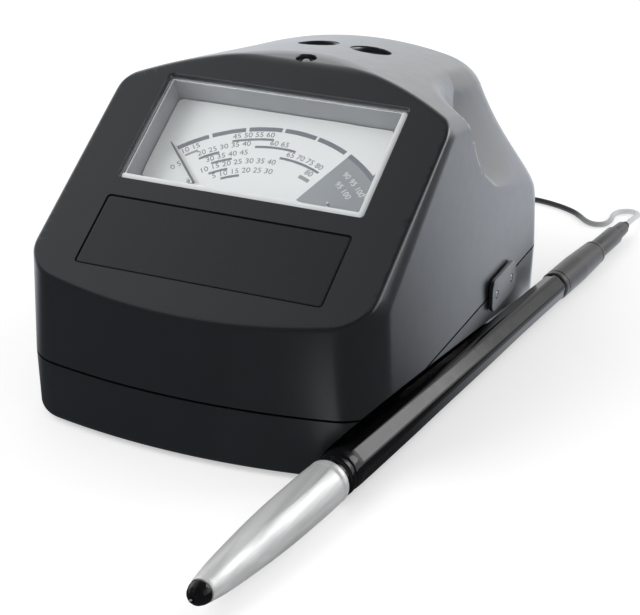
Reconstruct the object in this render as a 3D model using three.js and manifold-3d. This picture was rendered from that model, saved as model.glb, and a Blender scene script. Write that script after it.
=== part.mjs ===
// A bench tester with a sloped face, an analogue meter behind a clear window and a
// probe pen on a cord. The pen lies beside the housing, its barrel in a long cove
// along the foot of the right wall.
//
// Millimetres, X to the right, Y to the back, Z up. The model is worked out with the
// middle of the face's reference line at x = 0, y = 0 and the table at z = 0, and is
// then moved so that the origin lies under the middle of everything but the cord.

import * as THREE from "three";
import { mergeVertices } from "three/addons/utils/BufferGeometryUtils.js";
import Module from "manifold-3d";

const wasm = await Module();
wasm.setup();

// Shared fits.
const fit = 0.3;            // gap between pieces that touch
const overrun = 2;          // how far a cutting solid runs past what it cuts
const edge = 0.6;           // small broken edge
const weld = 1e-4;          // points closer than this are one

// Housing.
const body = {
  width: 109.4,
  partingHeight: 19.6,      // top of the lower casing above the table
  floorHeight: 1.2,         // underside of the lower casing above the table
  wall: 2.2,
  frontY: -36.3,            // middle of the front wall
  rearY: 119,               // middle of the rear wall
  frontBow: 200,            // radius of the front wall in plan
  rearBow: 260,
  frontCorner: 11.2,
  rearCorner: 12,
  upperDraft: 1.8,          // degrees
  lowerDraft: 2,
  footRound: 2.4,           // rounded lower edge
  joint: 0.5,               // shadow gap between the casings
};

// Sloped face, its edge bands and the small level facet behind it.
const face = {
  slope: 30.67,             // degrees
  height: 65.5,             // at y = 0
  sideBorder: 2.6,          // from the face's edge out to the side of the housing
  topBorder: 10.64,         // from the window up to the facet
  bandAngle: 19.6,
  facetSlope: 3,
};

// Arched deck behind the face, and the rear wall that leans forward above the waist.
const deck = {
  rise: 1.9,                // above the face's top edge on the centre line
  fall: 11.3,               // degrees
  crown: 115,               // radius of the arch
  shoulder: 4,              // rounded edge between deck and walls
  leanFrom: 36,
  lean: 15,
};

// Concave scoop at each rear side. Its edge is a steep line and a low line, joined by
// a round.
const scoop = {
  steepY: 44.7,
  steepZ: 80,
  steepAngle: 25.4,
  lowY: 81.5,
  lowZ: 47,
  lowAngle: 20.7,
  round: 10.4,
  depth: 21,
  reach: 14.3,
  softness: 15,
  softFrom: 62,
  softTo: 100,
};

// Meter, in the frame of the face: u to the right, v up the slope, n out of the face.
const meter = {
  openHalf: 38.25,
  openLow: 0.3,
  openHigh: 40.4,
  coverDrop: 0.6,
  coverThick: 2,
  coverBevel: 1.6,
  coverCorner: 1.6,
  dialDepth: 12.3,
  dialThick: 0.6,
  dialLow: -3,
  housingWall: 1.5,
  housingLow: -21,
  floorDrop: 2.2,
  pivotV: -10.4,
  pegRadius: 1.2,
  needleClear: 4.2,         // from the pointer's end to the nearer edge of the window
  needleWidth: 0.7,
  needleThick: 0.35,
  needleLift: 1.4,
  hubRadius: 3,
  hubThick: 3.2,
  magnetInner: 4.6,
  magnetOuter: 9.4,
  bridgeLength: 27,
  bridgeWidth: 3.4,
  bridgeThick: 1,
  stopRadius: 0.5,
  stopReach: 30,
  restAngle: 45,
};

const label = { half: 37.3, below: 6.7, height: 23.7, groove: 0.45, recess: 0.8, thick: 0.55 };

const led = { back: 3.9, recess: 3, lens: 1.55, length: 5.6, drop: 0.5, ringInner: 1.9 };

const dial = {
  x: 8.9,
  backShare: 0.543,         // of the deck, from the face's top edge to the rear wall
  hole: 6.1,
  knob: 5.3,
  knobThick: 4.6,
  drop: 1.4,
  slotWidth: 1.1,
  slotDepth: 1.2,
  slotLength: 7,
  potSize: 10,
  potThick: 5,
  shaft: 1.4,
  shaftLength: 1.6,
};

const board = {
  thick: 1.6,
  topLength: 40,
  topWidth: 18,
  mainLength: 78,
  mainWidth: 74,
  mainLift: 1,              // above the battery bay
  mainX: -4,
  mainY: 38,
};

const buzzer = { radius: 6, height: 6.5, besideScrew: 13, aheadOfScrew: 3 };

const cell = {
  radius: 5.25,
  length: 44.5,
  nub: 1.9,
  nubLength: 0.8,
  gap: 0.6,                 // between two cells
  endRoom: 4.75,            // for the contacts at each end
  sideRoom: 2.15,
  x: -9,
  y: 34,
};

const door = {
  thick: 1.6,
  ribThick: 1.2,
  ribHeight: 2.4,
  ribIn: 12,                // from the door's ends to its ribs
  gripWidth: 12,
  gripHeight: 0.5,
  gripDepth: 1.6,
  holder: 1.4,
  contact: 0.5,
  contactHeight: 8,
};

// Places of the screws and feet are measured inwards from the housing's sides, front and rear.
const screw = {
  frontIn: 21.7,
  frontBack: 11.3,
  rearIn: 13.7,
  rearFront: 26,
  head: 2.7,
  headThick: 1.8,
  shank: 1.35,
  length: 9.4,              // above the parting line
  boss: 3.8,
  recess: 0.9,
};

const foot = { radius: 5, height: 0.9, sideIn: 12.7, penIn: 28.7, frontBack: 29.3, rearFront: 41 };

const plate = {
  y: 69.8,
  length: 21.5,
  height: 10.4,
  thick: 1.8,
  corner: 3.2,
  screwIn: 4.05,            // from the plate's ends to its screws
  screwRadius: 1.15,
  screwThick: 0.5,
};

const toggle = {
  x: -8,
  length: 12,
  height: 6,
  thick: 1.2,
  flange: 1.6,
  knobLength: 4.6,
  knobHeight: 2.8,
  reach: 1.5,
  travel: 3.2,
  depth: 6,
};

const inlet = {
  side: -1,                 // which half of the rear wall it stands in
  sideIn: 20.7,
  radius: 4.2,
  bore: 2.9,
  pin: 0.9,
  length: 11,
  flange: 5.2,
  flangeThick: 1.2,
};

const socket = {
  side: 1,
  sideIn: 32.7,
  radius: 4.4,
  bore: 2.6,
  length: 12,
  flange: 5.4,
  flangeThick: 1.2,
};

const backHeight = 10.8;    // middle of the rear wall's fittings above the table

// Pen, along its own axis from a station near the back edge of its bright nose. It rests on
// the belly of its nose and on its sleeve.
const pen = {
  stationIn: 8.4,           // from the housing's side in to the pen's middle at its station
  stationY: -37,
  tailOut: 6.3,             // from the housing's side out to its middle at the barrel's back
  tailY: 105.7,
  needleTip: -71.3,
  needleRadius: 0.38,
  needleBack: -57,
  needleFlange: 1.3,
  needleFlangeThick: 1.6,
  needleTravel: 0.8,
  tipFront: -70.1,
  tipBack: -65.8,
  tipFrontRadius: 1,
  tipRadius: 3.4,
  belly: -12.4,
  noseRadius: 6.55,
  noseBack: -3,
  noseBore: 3.3,
  noseMouth: 1.9,
  noseFlatFrom: 5.55,
  noseFlatTo: 6.2,
  noseFlatStart: -44.8,
  sensorFront: -50,
  sensorBack: -7,
  sensorRadius: 2.8,
  collarBack: 1.6,
  collarWaist: 5.3,
  collarRing: 6.25,
  barrelRadius: 6.3,
  barrelBack: 143.2,
  barrelBore: 3.2,
  flats: 6,
  flatStart: 4.4,
  flatWidth: 4.4,
  flatTurn: 42,
  sleeveRadius: 4.75,
  sleeveRear: 4.1,
  sleeveRest: 160,
  sleeveBack: 177,
  sleeveBore: 2.7,
  tailRadius: 3.35,
  tailBack: 194,
  tailBore: 1.5,
  tailShare: 0.96,
  capFront: 2.65,
  capRear: 2.3,
  capBack: 202,
  nubRadius: 1.45,
  nubBack: 204.4,
};

const cove = {
  clearance: 0.45,
  wall: 1.8,
  roof: 41,                 // degrees from upright
  out: 30,
  drop: 12,
  start: -40,
  stop: 128,
  stopRadius: 4.5,
};

// Cord.
const cord = {
  radius: 0.95,
  plugRadius: 3.6,
  plugLength: 13,
  plugNeck: 1.7,
  plugNeckShare: 0.8,
  plugNeckLength: 5,
  coilX: -14,
  coilY: 161,
  coilInner: 7,
  pitch: 2.5,
  turnsIn: 3,
  turnsOut: 2.5,
  rise: 2.5,
  tieWidth: 3,
  tieThick: 0.5,
};

// How many straight pieces stand for a round.
const count = {
  around: 72,
  rings: 17,
  inner: 40,
  innerRings: 10,
  footRings: 3,
  small: 16,
  tiny: 10,
  pen: 20,
  corner: 4,
  cordSides: 8,
  rootSteps: 30,
  runSteps: 64,
  loopSteps: 24,
  loopSides: 6,
  march: 64,                // even steps that look for a surface along a ray
  halvings: 40,             // halvings that then close in on it
  fine: 720,                // even directions that measure the housing's outline
};

// How the housing's points are shared out: more of them where it turns, more near the face.
const bendShare = 1 / 9;
const ringPower = 1.15;

const rad = THREE.MathUtils.degToRad;
const tan = (degrees) => Math.tan(rad(degrees));
const sin = (degrees) => Math.sin(rad(degrees));
const cos = (degrees) => Math.cos(rad(degrees));

// Places worked out from the sizes above.
const faceTop = meter.openHigh + face.topBorder;
const faceHalf = body.width / 2 - face.sideBorder;
const facetY = faceTop * cos(face.slope);
const facetHeight = face.height + faceTop * sin(face.slope);
const deckHeight = facetHeight + deck.rise;
const deckRear = body.rearY - (deckHeight - deck.leanFrom) * tan(deck.lean);
const dialY = facetY + dial.backShare * (deckRear - facetY);
const lightY = facetY + led.back;
const labelHigh = meter.openLow - label.below;
const labelLow = labelHigh - label.height;
const bayLength = cell.length + 2 * cell.endRoom;
const cellPitch = 2 * cell.radius + cell.gap;
const bayWidth = 2 * (cellPitch + cell.radius + cell.sideRoom);
const cellZ = body.floorHeight + door.thick + fit + cell.radius;
const bayTop = cellZ + cell.radius + fit;
const mainZ = bayTop + door.holder + fit + board.mainLift;
const needleLength = Math.min(meter.openHigh - meter.pivotV, meter.openHalf / sin(meter.restAngle))
  - meter.needleClear;

// Closed surfaces and solids.

// A closed body from loops of equal length, with a flat fan over each end.
function loft(loops) {
  const n = loops[0].length;
  const points = loops.flat().map((p) => [p.x, p.y, p.z]);
  const middle = (loop) => loop.reduce((sum, p) => sum.add(p), new THREE.Vector3()).divideScalar(n);
  const first = middle(loops[0]);
  const last = middle(loops.at(-1));
  points.push(first.toArray(), last.toArray());
  const a = points.length - 2;
  const index = [];
  for (let k = 0; k + 1 < loops.length; k += 1) {
    for (let i = 0; i < n; i += 1) {
      const j = (i + 1) % n;
      index.push(k * n + i, k * n + j, (k + 1) * n + j);
      index.push(k * n + i, (k + 1) * n + j, (k + 1) * n + i);
    }
  }
  const end = (loops.length - 1) * n;
  for (let i = 0; i < n; i += 1) {
    const j = (i + 1) % n;
    index.push(a, j, i);
    index.push(a + 1, end + i, end + j);
  }
  const geometry = new THREE.BufferGeometry();
  geometry.setAttribute("position", new THREE.Float32BufferAttribute(points.flat(), 3));
  geometry.setIndex(index);
  return facingOut(geometry);
}

// Turns every face over when the signed volume is negative.
function facingOut(geometry) {
  const p = geometry.getAttribute("position");
  const index = geometry.getIndex().array;
  const [a, b, c] = [new THREE.Vector3(), new THREE.Vector3(), new THREE.Vector3()];
  let volume = 0;
  for (let i = 0; i < index.length; i += 3) {
    a.fromBufferAttribute(p, index[i]);
    b.fromBufferAttribute(p, index[i + 1]);
    c.fromBufferAttribute(p, index[i + 2]);
    volume += a.dot(b.cross(c));
  }
  if (volume < 0) {
    for (let i = 0; i < index.length; i += 3) {
      [index[i + 1], index[i + 2]] = [index[i + 2], index[i + 1]];
    }
  }
  return geometry;
}

function solid(geometry) {
  const plain = geometry.clone();
  plain.deleteAttribute("normal");
  plain.deleteAttribute("uv");
  const merged = mergeVertices(plain, weld);
  return new wasm.Manifold(new wasm.Mesh({
    numProp: 3,
    vertProperties: new Float32Array(merged.getAttribute("position").array),
    triVerts: new Uint32Array(merged.getIndex().array),
  }));
}

function surface(manifold) {
  const mesh = manifold.getMesh();
  const geometry = new THREE.BufferGeometry();
  geometry.setAttribute("position", new THREE.Float32BufferAttribute(mesh.vertProperties, 3));
  geometry.setIndex(Array.from(mesh.triVerts));
  return geometry;
}

// A box between two corners.
function boxBetween(x0, x1, y0, y1, z0, z1) {
  const geometry = new THREE.BoxGeometry(x1 - x0, y1 - y0, z1 - z0);
  return geometry.translate((x0 + x1) / 2, (y0 + y1) / 2, (z0 + z1) / 2);
}

// A turned body about Z from (radius, height) pairs that start and end on the axis or close.
function turned(pairs, sides) {
  const profile = pairs.map(([r, h]) => new THREE.Vector2(r, h));
  const geometry = new THREE.LatheGeometry(profile, sides);
  geometry.rotateX(Math.PI / 2);
  const plain = geometry.clone();
  plain.deleteAttribute("normal");
  plain.deleteAttribute("uv");
  const merged = mergeVertices(plain, weld);
  return facingOut(withoutSlivers(merged));
}

// Drops the triangles that a lathe leaves folded to a line on its axis.
function withoutSlivers(geometry) {
  const index = geometry.getIndex().array;
  const kept = [];
  for (let i = 0; i < index.length; i += 3) {
    const [a, b, c] = [index[i], index[i + 1], index[i + 2]];
    if (a !== b && b !== c && a !== c) {
      kept.push(a, b, c);
    }
  }
  geometry.setIndex(kept);
  return geometry;
}

function post(radius, z0, z1, sides = count.small) {
  return turned([[0, z0], [radius, z0], [radius, z1], [0, z1]], sides);
}

function ring(inner, outer, z0, z1, sides = count.small) {
  return turned([[inner, z0], [outer, z0], [outer, z1], [inner, z1], [inner, z0]], sides);
}

// A rectangle with round corners as a loop of points at one height.
function roundedLoop(x0, x1, y0, y1, corner, z) {
  const loop = [];
  const middles = [[x1 - corner, y0 + corner], [x1 - corner, y1 - corner], [x0 + corner, y1 - corner],
    [x0 + corner, y0 + corner]];
  middles.forEach(([cx, cy], k) => {
    for (let i = 0; i <= count.corner; i += 1) {
      const angle = Math.PI / 2 * (k - 1 + i / count.corner);
      loop.push(new THREE.Vector3(cx + corner * Math.cos(angle), cy + corner * Math.sin(angle), z));
    }
  });
  return loop;
}

// Shape of the housing.

// The larger of two distances, with a round of the given radius where they meet.
function roundMax(a, b, radius) {
  return Math.min(Math.max(a, b), -radius) + Math.hypot(Math.max(a + radius, 0), Math.max(b + radius, 0));
}

function smooth(from, to, value) {
  const t = Math.min(Math.max((value - from) / (to - from), 0), 1);
  return t * t * (3 - 2 * t);
}

// Depth of the rear scoop, which grows from nothing at its edge towards its full depth.
function scoopDepth(y, z) {
  const steep = (y - scoop.steepY) * cos(scoop.steepAngle) + (z - scoop.steepZ) * sin(scoop.steepAngle);
  const low = (y - scoop.lowY) * sin(scoop.lowAngle) + (z - scoop.lowZ) * cos(scoop.lowAngle);
  const inside = Math.max(-roundMax(-steep, -low, scoop.round), 0);
  if (inside === 0) {
    return 0;
  }
  const soft = scoop.softness * smooth(scoop.softFrom, scoop.softTo, y);
  const grown = inside * inside / (inside + soft);
  return scoop.depth * (1 - Math.exp(-grown / scoop.reach));
}

// Distance outside the walls, negative inside.
function wallDistance(x, y, z) {
  const above = z - body.partingHeight;
  const inset = above > 0 ? above * tan(body.upperDraft) : -above * tan(body.lowerDraft);
  const side = Math.abs(x) - (body.width / 2 - inset - scoopDepth(y, z));
  const front = Math.hypot(x, y - (body.frontY + inset / 4 + body.frontBow)) - body.frontBow;
  const leaned = Math.max(z - deck.leanFrom, 0) * tan(deck.lean);
  const rear = Math.hypot(x, y - (body.rearY - inset / 4 - leaned - body.rearBow)) - body.rearBow;
  return Math.max(roundMax(side, front, body.frontCorner), roundMax(side, rear, body.rearCorner));
}

function faceDistance(y, z) {
  return (z - face.height) * cos(face.slope) - y * sin(face.slope);
}

function deckZ(x, y) {
  return deckHeight - (y - facetY) * tan(deck.fall) - x * x / (2 * deck.crown);
}

function facetZ(y) {
  return facetHeight + (y - facetY) * tan(face.facetSlope);
}

function restDistance(x, y, z) {
  const blank = roundMax(wallDistance(x, y, z), (z - deckZ(x, y)) * cos(deck.fall), deck.shoulder);
  const faceZ = face.height + y * tan(face.slope);
  const band = (Math.abs(x) - faceHalf) * cos(face.bandAngle) + (z - faceZ) * sin(face.bandAngle);
  const facet = (z - facetZ(y)) * cos(face.facetSlope);
  return Math.max(blank, band, facet);
}

const centre = new THREE.Vector3(0, (body.frontY + body.rearY) / 2 - body.frontCorner, body.partingHeight);
const far = body.width + body.rearY - body.frontY;

// Where a ray from the centre leaves the housing, or a shell that much inside it.
function leaves(direction, inset) {
  const value = (t) => {
    const p = direction.clone().multiplyScalar(t).add(centre);
    return Math.max(restDistance(p.x, p.y, p.z), faceDistance(p.y, p.z)) + inset;
  };
  let low = 0;
  let high = far / count.march;
  while (value(high) < 0) {
    low = high;
    high += far / count.march;
  }
  for (let i = 0; i < count.halvings; i += 1) {
    const t = (low + high) / 2;
    if (value(t) < 0) {
      low = t;
    } else {
      high = t;
    }
  }
  return direction.clone().multiplyScalar(high).add(centre);
}

// Level directions whose points on the parting line lie evenly spaced, closer in the corners.
function levelDirections(number) {
  const fine = count.fine;
  const at = (i) => new THREE.Vector3(Math.cos(2 * Math.PI * i / fine), Math.sin(2 * Math.PI * i / fine), 0);
  const points = Array.from({ length: fine + 1 }, (_, i) => leaves(at(i), 0));
  const turn = far * bendShare;
  const weights = [0];
  for (let i = 1; i <= fine; i += 1) {
    const before = points[(i - 2 + fine) % fine];
    const [a, b] = [points[i - 1], points[i]];
    const bend = a.clone().sub(before).angleTo(b.clone().sub(a));
    weights.push(weights[i - 1] + a.distanceTo(b) + bend * turn);
  }
  const total = weights[fine];
  return Array.from({ length: number }, (_, k) => {
    const wanted = total * k / number;
    let i = 1;
    while (weights[i] < wanted) {
      i += 1;
    }
    const share = (wanted - weights[i - 1]) / (weights[i] - weights[i - 1]);
    return at(i - 1 + share);
  });
}

// Rings of points from the middle of the face over its edge and down to the parting line.
function housingRings(number, rings, inset) {
  const pole = new THREE.Vector3(0, -sin(face.slope), cos(face.slope));
  const loops = Array.from({ length: rings + 2 }, () => []);
  for (const level of levelDirections(number)) {
    const toward = (t) => pole.clone().multiplyScalar(Math.cos(t * Math.PI / 2))
      .addScaledVector(level.clone().addScaledVector(pole, -level.dot(pole)).normalize(),
        Math.sin(t * Math.PI / 2)).normalize();
    const whole = pole.angleTo(level) / (Math.PI / 2);
    const onFace = (t) => {
      const p = leaves(toward(t), inset);
      return faceDistance(p.y, p.z) > restDistance(p.x, p.y, p.z);
    };
    let low = 0;
    let high = whole;
    for (let i = 0; i < count.halvings; i += 1) {
      const t = (low + high) / 2;
      if (onFace(t)) {
        low = t;
      } else {
        high = t;
      }
    }
    loops[0].push(leaves(toward(low / 2), inset));
    loops[1].push(leaves(toward(low), inset));
    for (let k = 1; k <= rings; k += 1) {
      const t = k === rings ? whole : low + (whole - low) * (k / rings) ** ringPower;
      loops[k + 1].push(leaves(toward(t), inset));
    }
  }
  return loops;
}

// A loop round the walls at one height, a little inside them.
function wallLoop(directions, z, inset) {
  return directions.map((direction) => {
    let low = 0;
    let high = far;
    for (let i = 0; i < count.halvings; i += 1) {
      const t = (low + high) / 2;
      const p = direction.clone().multiplyScalar(t).add(centre);
      if (wallDistance(p.x, p.y, z) + inset < 0) {
        low = t;
      } else {
        high = t;
      }
    }
    const p = direction.clone().multiplyScalar(high).add(centre);
    p.z = z;
    return p;
  });
}

// Matrices of the face, the facet and the deck, each with its outward normal as local Z.
const faceMatrix = new THREE.Matrix4().makeRotationX(rad(face.slope)).setPosition(0, 0, face.height);
const lightZ = Math.min(facetZ(lightY), deckZ(0, lightY));
const facetMatrix = new THREE.Matrix4().makeRotationX(rad(face.facetSlope)).setPosition(0, lightY, lightZ);
function deckMatrix(x) {
  return new THREE.Matrix4().makeRotationX(rad(-deck.fall)).setPosition(x, dialY, deckZ(x, dialY));
}

const half = body.width / 2;
const screwPlaces = [
  [screw.frontIn - half, body.frontY + screw.frontBack],
  [half - screw.frontIn, body.frontY + screw.frontBack],
  [screw.rearIn - half, body.rearY - screw.rearFront],
  [half - screw.rearIn, body.rearY - screw.rearFront],
];
const screwTop = body.partingHeight + screw.length;
const footPlaces = [
  [foot.sideIn - half, body.frontY + foot.frontBack],
  [half - foot.penIn, body.frontY + foot.frontBack],
  [foot.sideIn - half, body.rearY - foot.rearFront],
  [half - foot.sideIn, body.rearY - foot.rearFront],
];

// Pen placing.

const penFall = (pen.noseRadius - pen.sleeveRadius) / (pen.sleeveRest - pen.belly);
const penZ = pen.noseRadius + pen.belly * penFall;
const penStation = new THREE.Vector3(half - pen.stationIn, pen.stationY, penZ);
const penTail = new THREE.Vector3(half + pen.tailOut, pen.tailY, penZ - pen.barrelBack * penFall);
const penAxis = penTail.clone().sub(penStation).normalize();
const penSide = new THREE.Vector3(penAxis.y, -penAxis.x, 0).normalize();
const penUp = penSide.clone().cross(penAxis).normalize();
const penMatrix = new THREE.Matrix4().makeBasis(penSide, penUp.clone().negate(), penAxis)
  .setPosition(penStation);

// The long cove that takes the pen. It is open below and to the right, and its roof rises to
// the right so that the pen can be lifted out along it.
function coveSolid(extra) {
  const section = (s, radius) => {
    const at = (a, b) => penStation.clone().addScaledVector(penAxis, s).addScaledVector(penSide, a)
      .addScaledVector(penUp, b);
    const roofOut = (cove.out * cos(cove.roof) + radius) / sin(cove.roof);
    const loop = [at(cove.out, -cove.drop), at(cove.out, roofOut)];
    for (let i = 0; i <= count.corner; i += 1) {
      const angle = rad(cove.roof - 90) * (1 - i / count.corner) - Math.PI / 2 * i / count.corner;
      loop.push(at(radius * Math.sin(angle), radius * Math.cos(angle)));
    }
    loop.push(at(-radius, -cove.drop));
    return loop;
  };
  const wide = pen.noseRadius + cove.clearance + extra;
  const narrow = cove.stopRadius + cove.clearance + extra;
  return solid(loft([section(cove.start - extra, wide), section(0, wide),
    section(cove.stop + extra, narrow)]));
}

// The housing's pieces.

function upperCasing() {
  const lift = new THREE.Vector3(0, 0, body.joint / 2);
  const outerLoops = housingRings(count.around, count.rings, 0);
  outerLoops.at(-1).forEach((p) => p.add(lift));
  const innerLoops = housingRings(count.inner, count.innerRings, body.wall);
  innerLoops.push(innerLoops.at(-1).map((p) => p.clone().setZ(centre.z - overrun)));
  const outer = solid(loft(outerLoops));
  let casing = outer.subtract(solid(loft(innerLoops)).subtract(coveSolid(cove.wall)));
  const floor = body.partingHeight + body.joint / 2;
  for (const [x, y] of screwPlaces) {
    const boss = solid(post(screw.boss, floor, deckHeight).translate(x, y, 0));
    casing = casing.add(boss.intersect(outer));
  }
  const pillars = [-1, 1].map((side) => {
    const top = board.topLength / 2 - screw.boss;
    const geometry = post(screw.boss / 2, -pocketDepth(), 0);
    return solid(geometry.applyMatrix4(deckMatrix(0)).translate(side * top, 0, 0)).intersect(outer);
  });
  casing = casing.add(pillars[0]).add(pillars[1]);
  for (const [x, y] of screwPlaces) {
    casing = casing.subtract(solid(post(screw.shank + fit, 0, screwTop + fit).translate(x, y, 0)));
  }
  const windowCut = boxBetween(-meter.openHalf, meter.openHalf, meter.openLow, meter.openHigh,
    -body.wall - overrun, overrun).applyMatrix4(faceMatrix);
  const labelCut = boxBetween(-label.half - label.groove, label.half + label.groove, labelLow - label.groove,
    labelHigh + label.groove, -label.recess, overrun).applyMatrix4(faceMatrix);
  casing = casing.subtract(solid(windowCut)).subtract(solid(labelCut));
  const ledCut = post(led.recess, -led.length - overrun, overrun, count.pen).applyMatrix4(facetMatrix);
  casing = casing.subtract(solid(ledCut));
  for (const x of [-dial.x, dial.x]) {
    const dialCut = post(dial.hole, -body.wall - overrun, overrun, count.pen).applyMatrix4(deckMatrix(x));
    casing = casing.subtract(solid(dialCut));
  }
  return surface(casing.subtract(coveSolid(0)));
}

// Distance from the deck's skin down to the upper board's top face.
function pocketDepth() {
  return dial.drop + dial.knobThick + dial.shaftLength + dial.potThick + fit;
}

// Depth of the flat seat that a fitting of the given half width has in the bowed rear wall.
function rearSeatY(x, half) {
  const widest = Math.abs(x) + half;
  return body.rearY - body.rearBow + Math.sqrt(body.rearBow ** 2 - widest * widest) - edge;
}

function lowerCasing() {
  const top = body.partingHeight - body.joint / 2;
  const directions = levelDirections(count.around);
  const low = body.floorHeight;
  const round = body.footRound;
  const steps = count.footRings;
  const loops = [wallLoop(directions, top, 0)];
  for (let i = 0; i <= steps; i += 1) {
    const angle = Math.PI / 2 * i / steps;
    loops.push(wallLoop(directions, low + round * (1 - Math.sin(angle)), round * (1 - Math.cos(angle))));
  }
  const inner = levelDirections(count.inner);
  const hollow = solid(loft([wallLoop(inner, top, body.wall).map((p) => p.setZ(top + overrun)),
    wallLoop(inner, low + body.wall, body.wall)])).subtract(coveSolid(cove.wall));
  let casing = solid(loft(loops)).subtract(hollow);
  for (const [x, y] of screwPlaces) {
    casing = casing.add(solid(post(screw.boss, low + body.wall / 2, top).translate(x, y, 0)));
  }
  const holder = boxBetween(cell.x - bayLength / 2 - door.holder, cell.x + bayLength / 2 + door.holder,
    cell.y - bayWidth / 2 - door.holder, cell.y + bayWidth / 2 + door.holder, low + body.wall / 2,
    mainZ - fit);
  casing = casing.add(solid(holder));
  const bay = boxBetween(cell.x - bayLength / 2, cell.x + bayLength / 2, cell.y - bayWidth / 2,
    cell.y + bayWidth / 2, low - overrun, mainZ - fit - door.holder);
  casing = casing.subtract(solid(bay)).subtract(coveSolid(0));
  for (const [x, y] of screwPlaces) {
    casing = casing.subtract(solid(post(screw.shank + fit, 0, top + overrun).translate(x, y, 0)));
    casing = casing.subtract(solid(post(screw.head + fit, 0, low + screw.recess + screw.headThick + fit)
      .translate(x, y, 0)));
  }
  for (const piece of [inlet, socket]) {
    const cut = turned([[0, -body.wall - overrun], [piece.radius + fit, -body.wall - overrun],
      [piece.radius + fit, 0], [piece.flange + fit, 0], [piece.flange + fit, overrun], [0, overrun]],
    count.small);
    casing = casing.subtract(solid(onRear(cut, rearX(piece), piece.flange)));
  }
  const wide = toggle.length / 2 + toggle.flange + fit;
  const tall = toggle.height / 2 + toggle.flange + fit;
  const slot = boxBetween(-toggle.length / 2, toggle.length / 2, -toggle.height / 2, toggle.height / 2,
    -body.wall - overrun, overrun);
  const seat = boxBetween(-wide, wide, -tall, tall, 0, overrun);
  casing = casing.subtract(solid(onRear(slot, toggle.x, wide))).subtract(solid(onRear(seat, toggle.x, wide)));
  return surface(casing);
}

// Where a fitting that is measured inwards from the housing's side stands.
function rearX(piece) {
  return piece.side * (half - piece.sideIn);
}

// Places a fitting, made with its outward side up, on its seat in the rear wall.
function onRear(geometry, x, half) {
  return geometry.rotateX(-Math.PI / 2).translate(x, rearSeatY(x, half), backHeight);
}

// The scene.

const object = new THREE.Group();
const faceGroup = new THREE.Group();
faceGroup.applyMatrix4(faceMatrix);
const facetGroup = new THREE.Group();
facetGroup.applyMatrix4(facetMatrix);
const penGroup = new THREE.Group();
penGroup.applyMatrix4(penMatrix);
object.add(faceGroup, facetGroup, penGroup);

const finish = {
  shell: { color: 0x2b2c2f, roughness: 0.42, metalness: 0 },
  gloss: { color: 0x16171a, roughness: 0.18, metalness: 0 },
  rubber: { color: 0x1a1a1b, roughness: 0.85, metalness: 0 },
  label: { color: 0x45464a, roughness: 0.3, metalness: 0 },
  clear: { color: 0xe9eef0, roughness: 0.05, metalness: 0 },
  paper: { color: 0xe8ebec, roughness: 0.7, metalness: 0 },
  grey: { color: 0x96999d, roughness: 0.5, metalness: 0 },
  needle: { color: 0x6a6d72, roughness: 0.4, metalness: 0 },
  copper: { color: 0xb5703c, roughness: 0.4, metalness: 1 },
  magnet: { color: 0x55575b, roughness: 0.5, metalness: 1 },
  brass: { color: 0xb79a55, roughness: 0.35, metalness: 1 },
  lens: { color: 0xb9c2c6, roughness: 0.15, metalness: 0 },
  circuit: { color: 0x2c6a44, roughness: 0.6, metalness: 0 },
  steel: { color: 0xb9bcc0, roughness: 0.3, metalness: 1 },
  chrome: { color: 0xd9dcdf, roughness: 0.12, metalness: 1 },
  cell: { color: 0x3d6fa8, roughness: 0.4, metalness: 0 },
  cord: { color: 0x303236, roughness: 0.6, metalness: 0 },
};

function add(name, geometry, look, parent = object) {
  const mesh = new THREE.Mesh(geometry, new THREE.MeshStandardMaterial(finish[look]));
  mesh.name = name;
  parent.add(mesh);
  return mesh;
}

add("upper_casing", upperCasing(), "shell");
add("lower_casing", lowerCasing(), "shell");

// Label plate in its shallow recess.
add("label_plate", boxBetween(-label.half, label.half, labelLow, labelHigh, fit - label.recess,
  fit - label.recess + label.thick), "label", faceGroup);

// Meter, from the cover down to its housing.
const coverTop = -meter.coverDrop;
const coverBottom = coverTop - meter.coverThick;
const coverIn = fit + edge / 2;
const coverLoop = (inset, z) => roundedLoop(-meter.openHalf + inset, meter.openHalf - inset,
  meter.openLow + inset, meter.openHigh - inset, meter.coverCorner, z);
add("window_cover", loft([coverLoop(coverIn, coverBottom),
  coverLoop(coverIn, coverTop - meter.coverBevel / 2), coverLoop(coverIn + meter.coverBevel, coverTop)]),
"clear", faceGroup);

const housingTop = coverBottom - fit;
const housingFloor = -meter.dialDepth - meter.dialThick - meter.floorDrop;
const housingOuter = boxBetween(-meter.openHalf - meter.housingWall, meter.openHalf + meter.housingWall,
  meter.housingLow - meter.housingWall, meter.openHigh + meter.housingWall,
  housingFloor - meter.housingWall, housingTop);
const housingInner = boxBetween(-meter.openHalf, meter.openHalf, meter.housingLow, meter.openHigh,
  housingFloor, housingTop + overrun);
let housing = solid(housingOuter).subtract(solid(housingInner));
const dialBack = -meter.dialDepth - meter.dialThick;
for (const u of [-1, 1]) {
  for (const v of [meter.dialLow, meter.openHigh]) {
    const x = u * (meter.openHalf - 3 * meter.pegRadius);
    const y = v === meter.openHigh ? v - 3 * meter.pegRadius : v + 3 * meter.pegRadius;
    const peg = post(meter.pegRadius, housingFloor - edge, dialBack - fit);
    housing = housing.add(solid(peg.translate(x, y, 0)));
  }
}
add("meter_housing", surface(housing), "grey", faceGroup);
add("dial_plate", boxBetween(-meter.openHalf + fit, meter.openHalf - fit, meter.dialLow, meter.openHigh - fit,
  dialBack, -meter.dialDepth), "paper", faceGroup);

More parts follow.
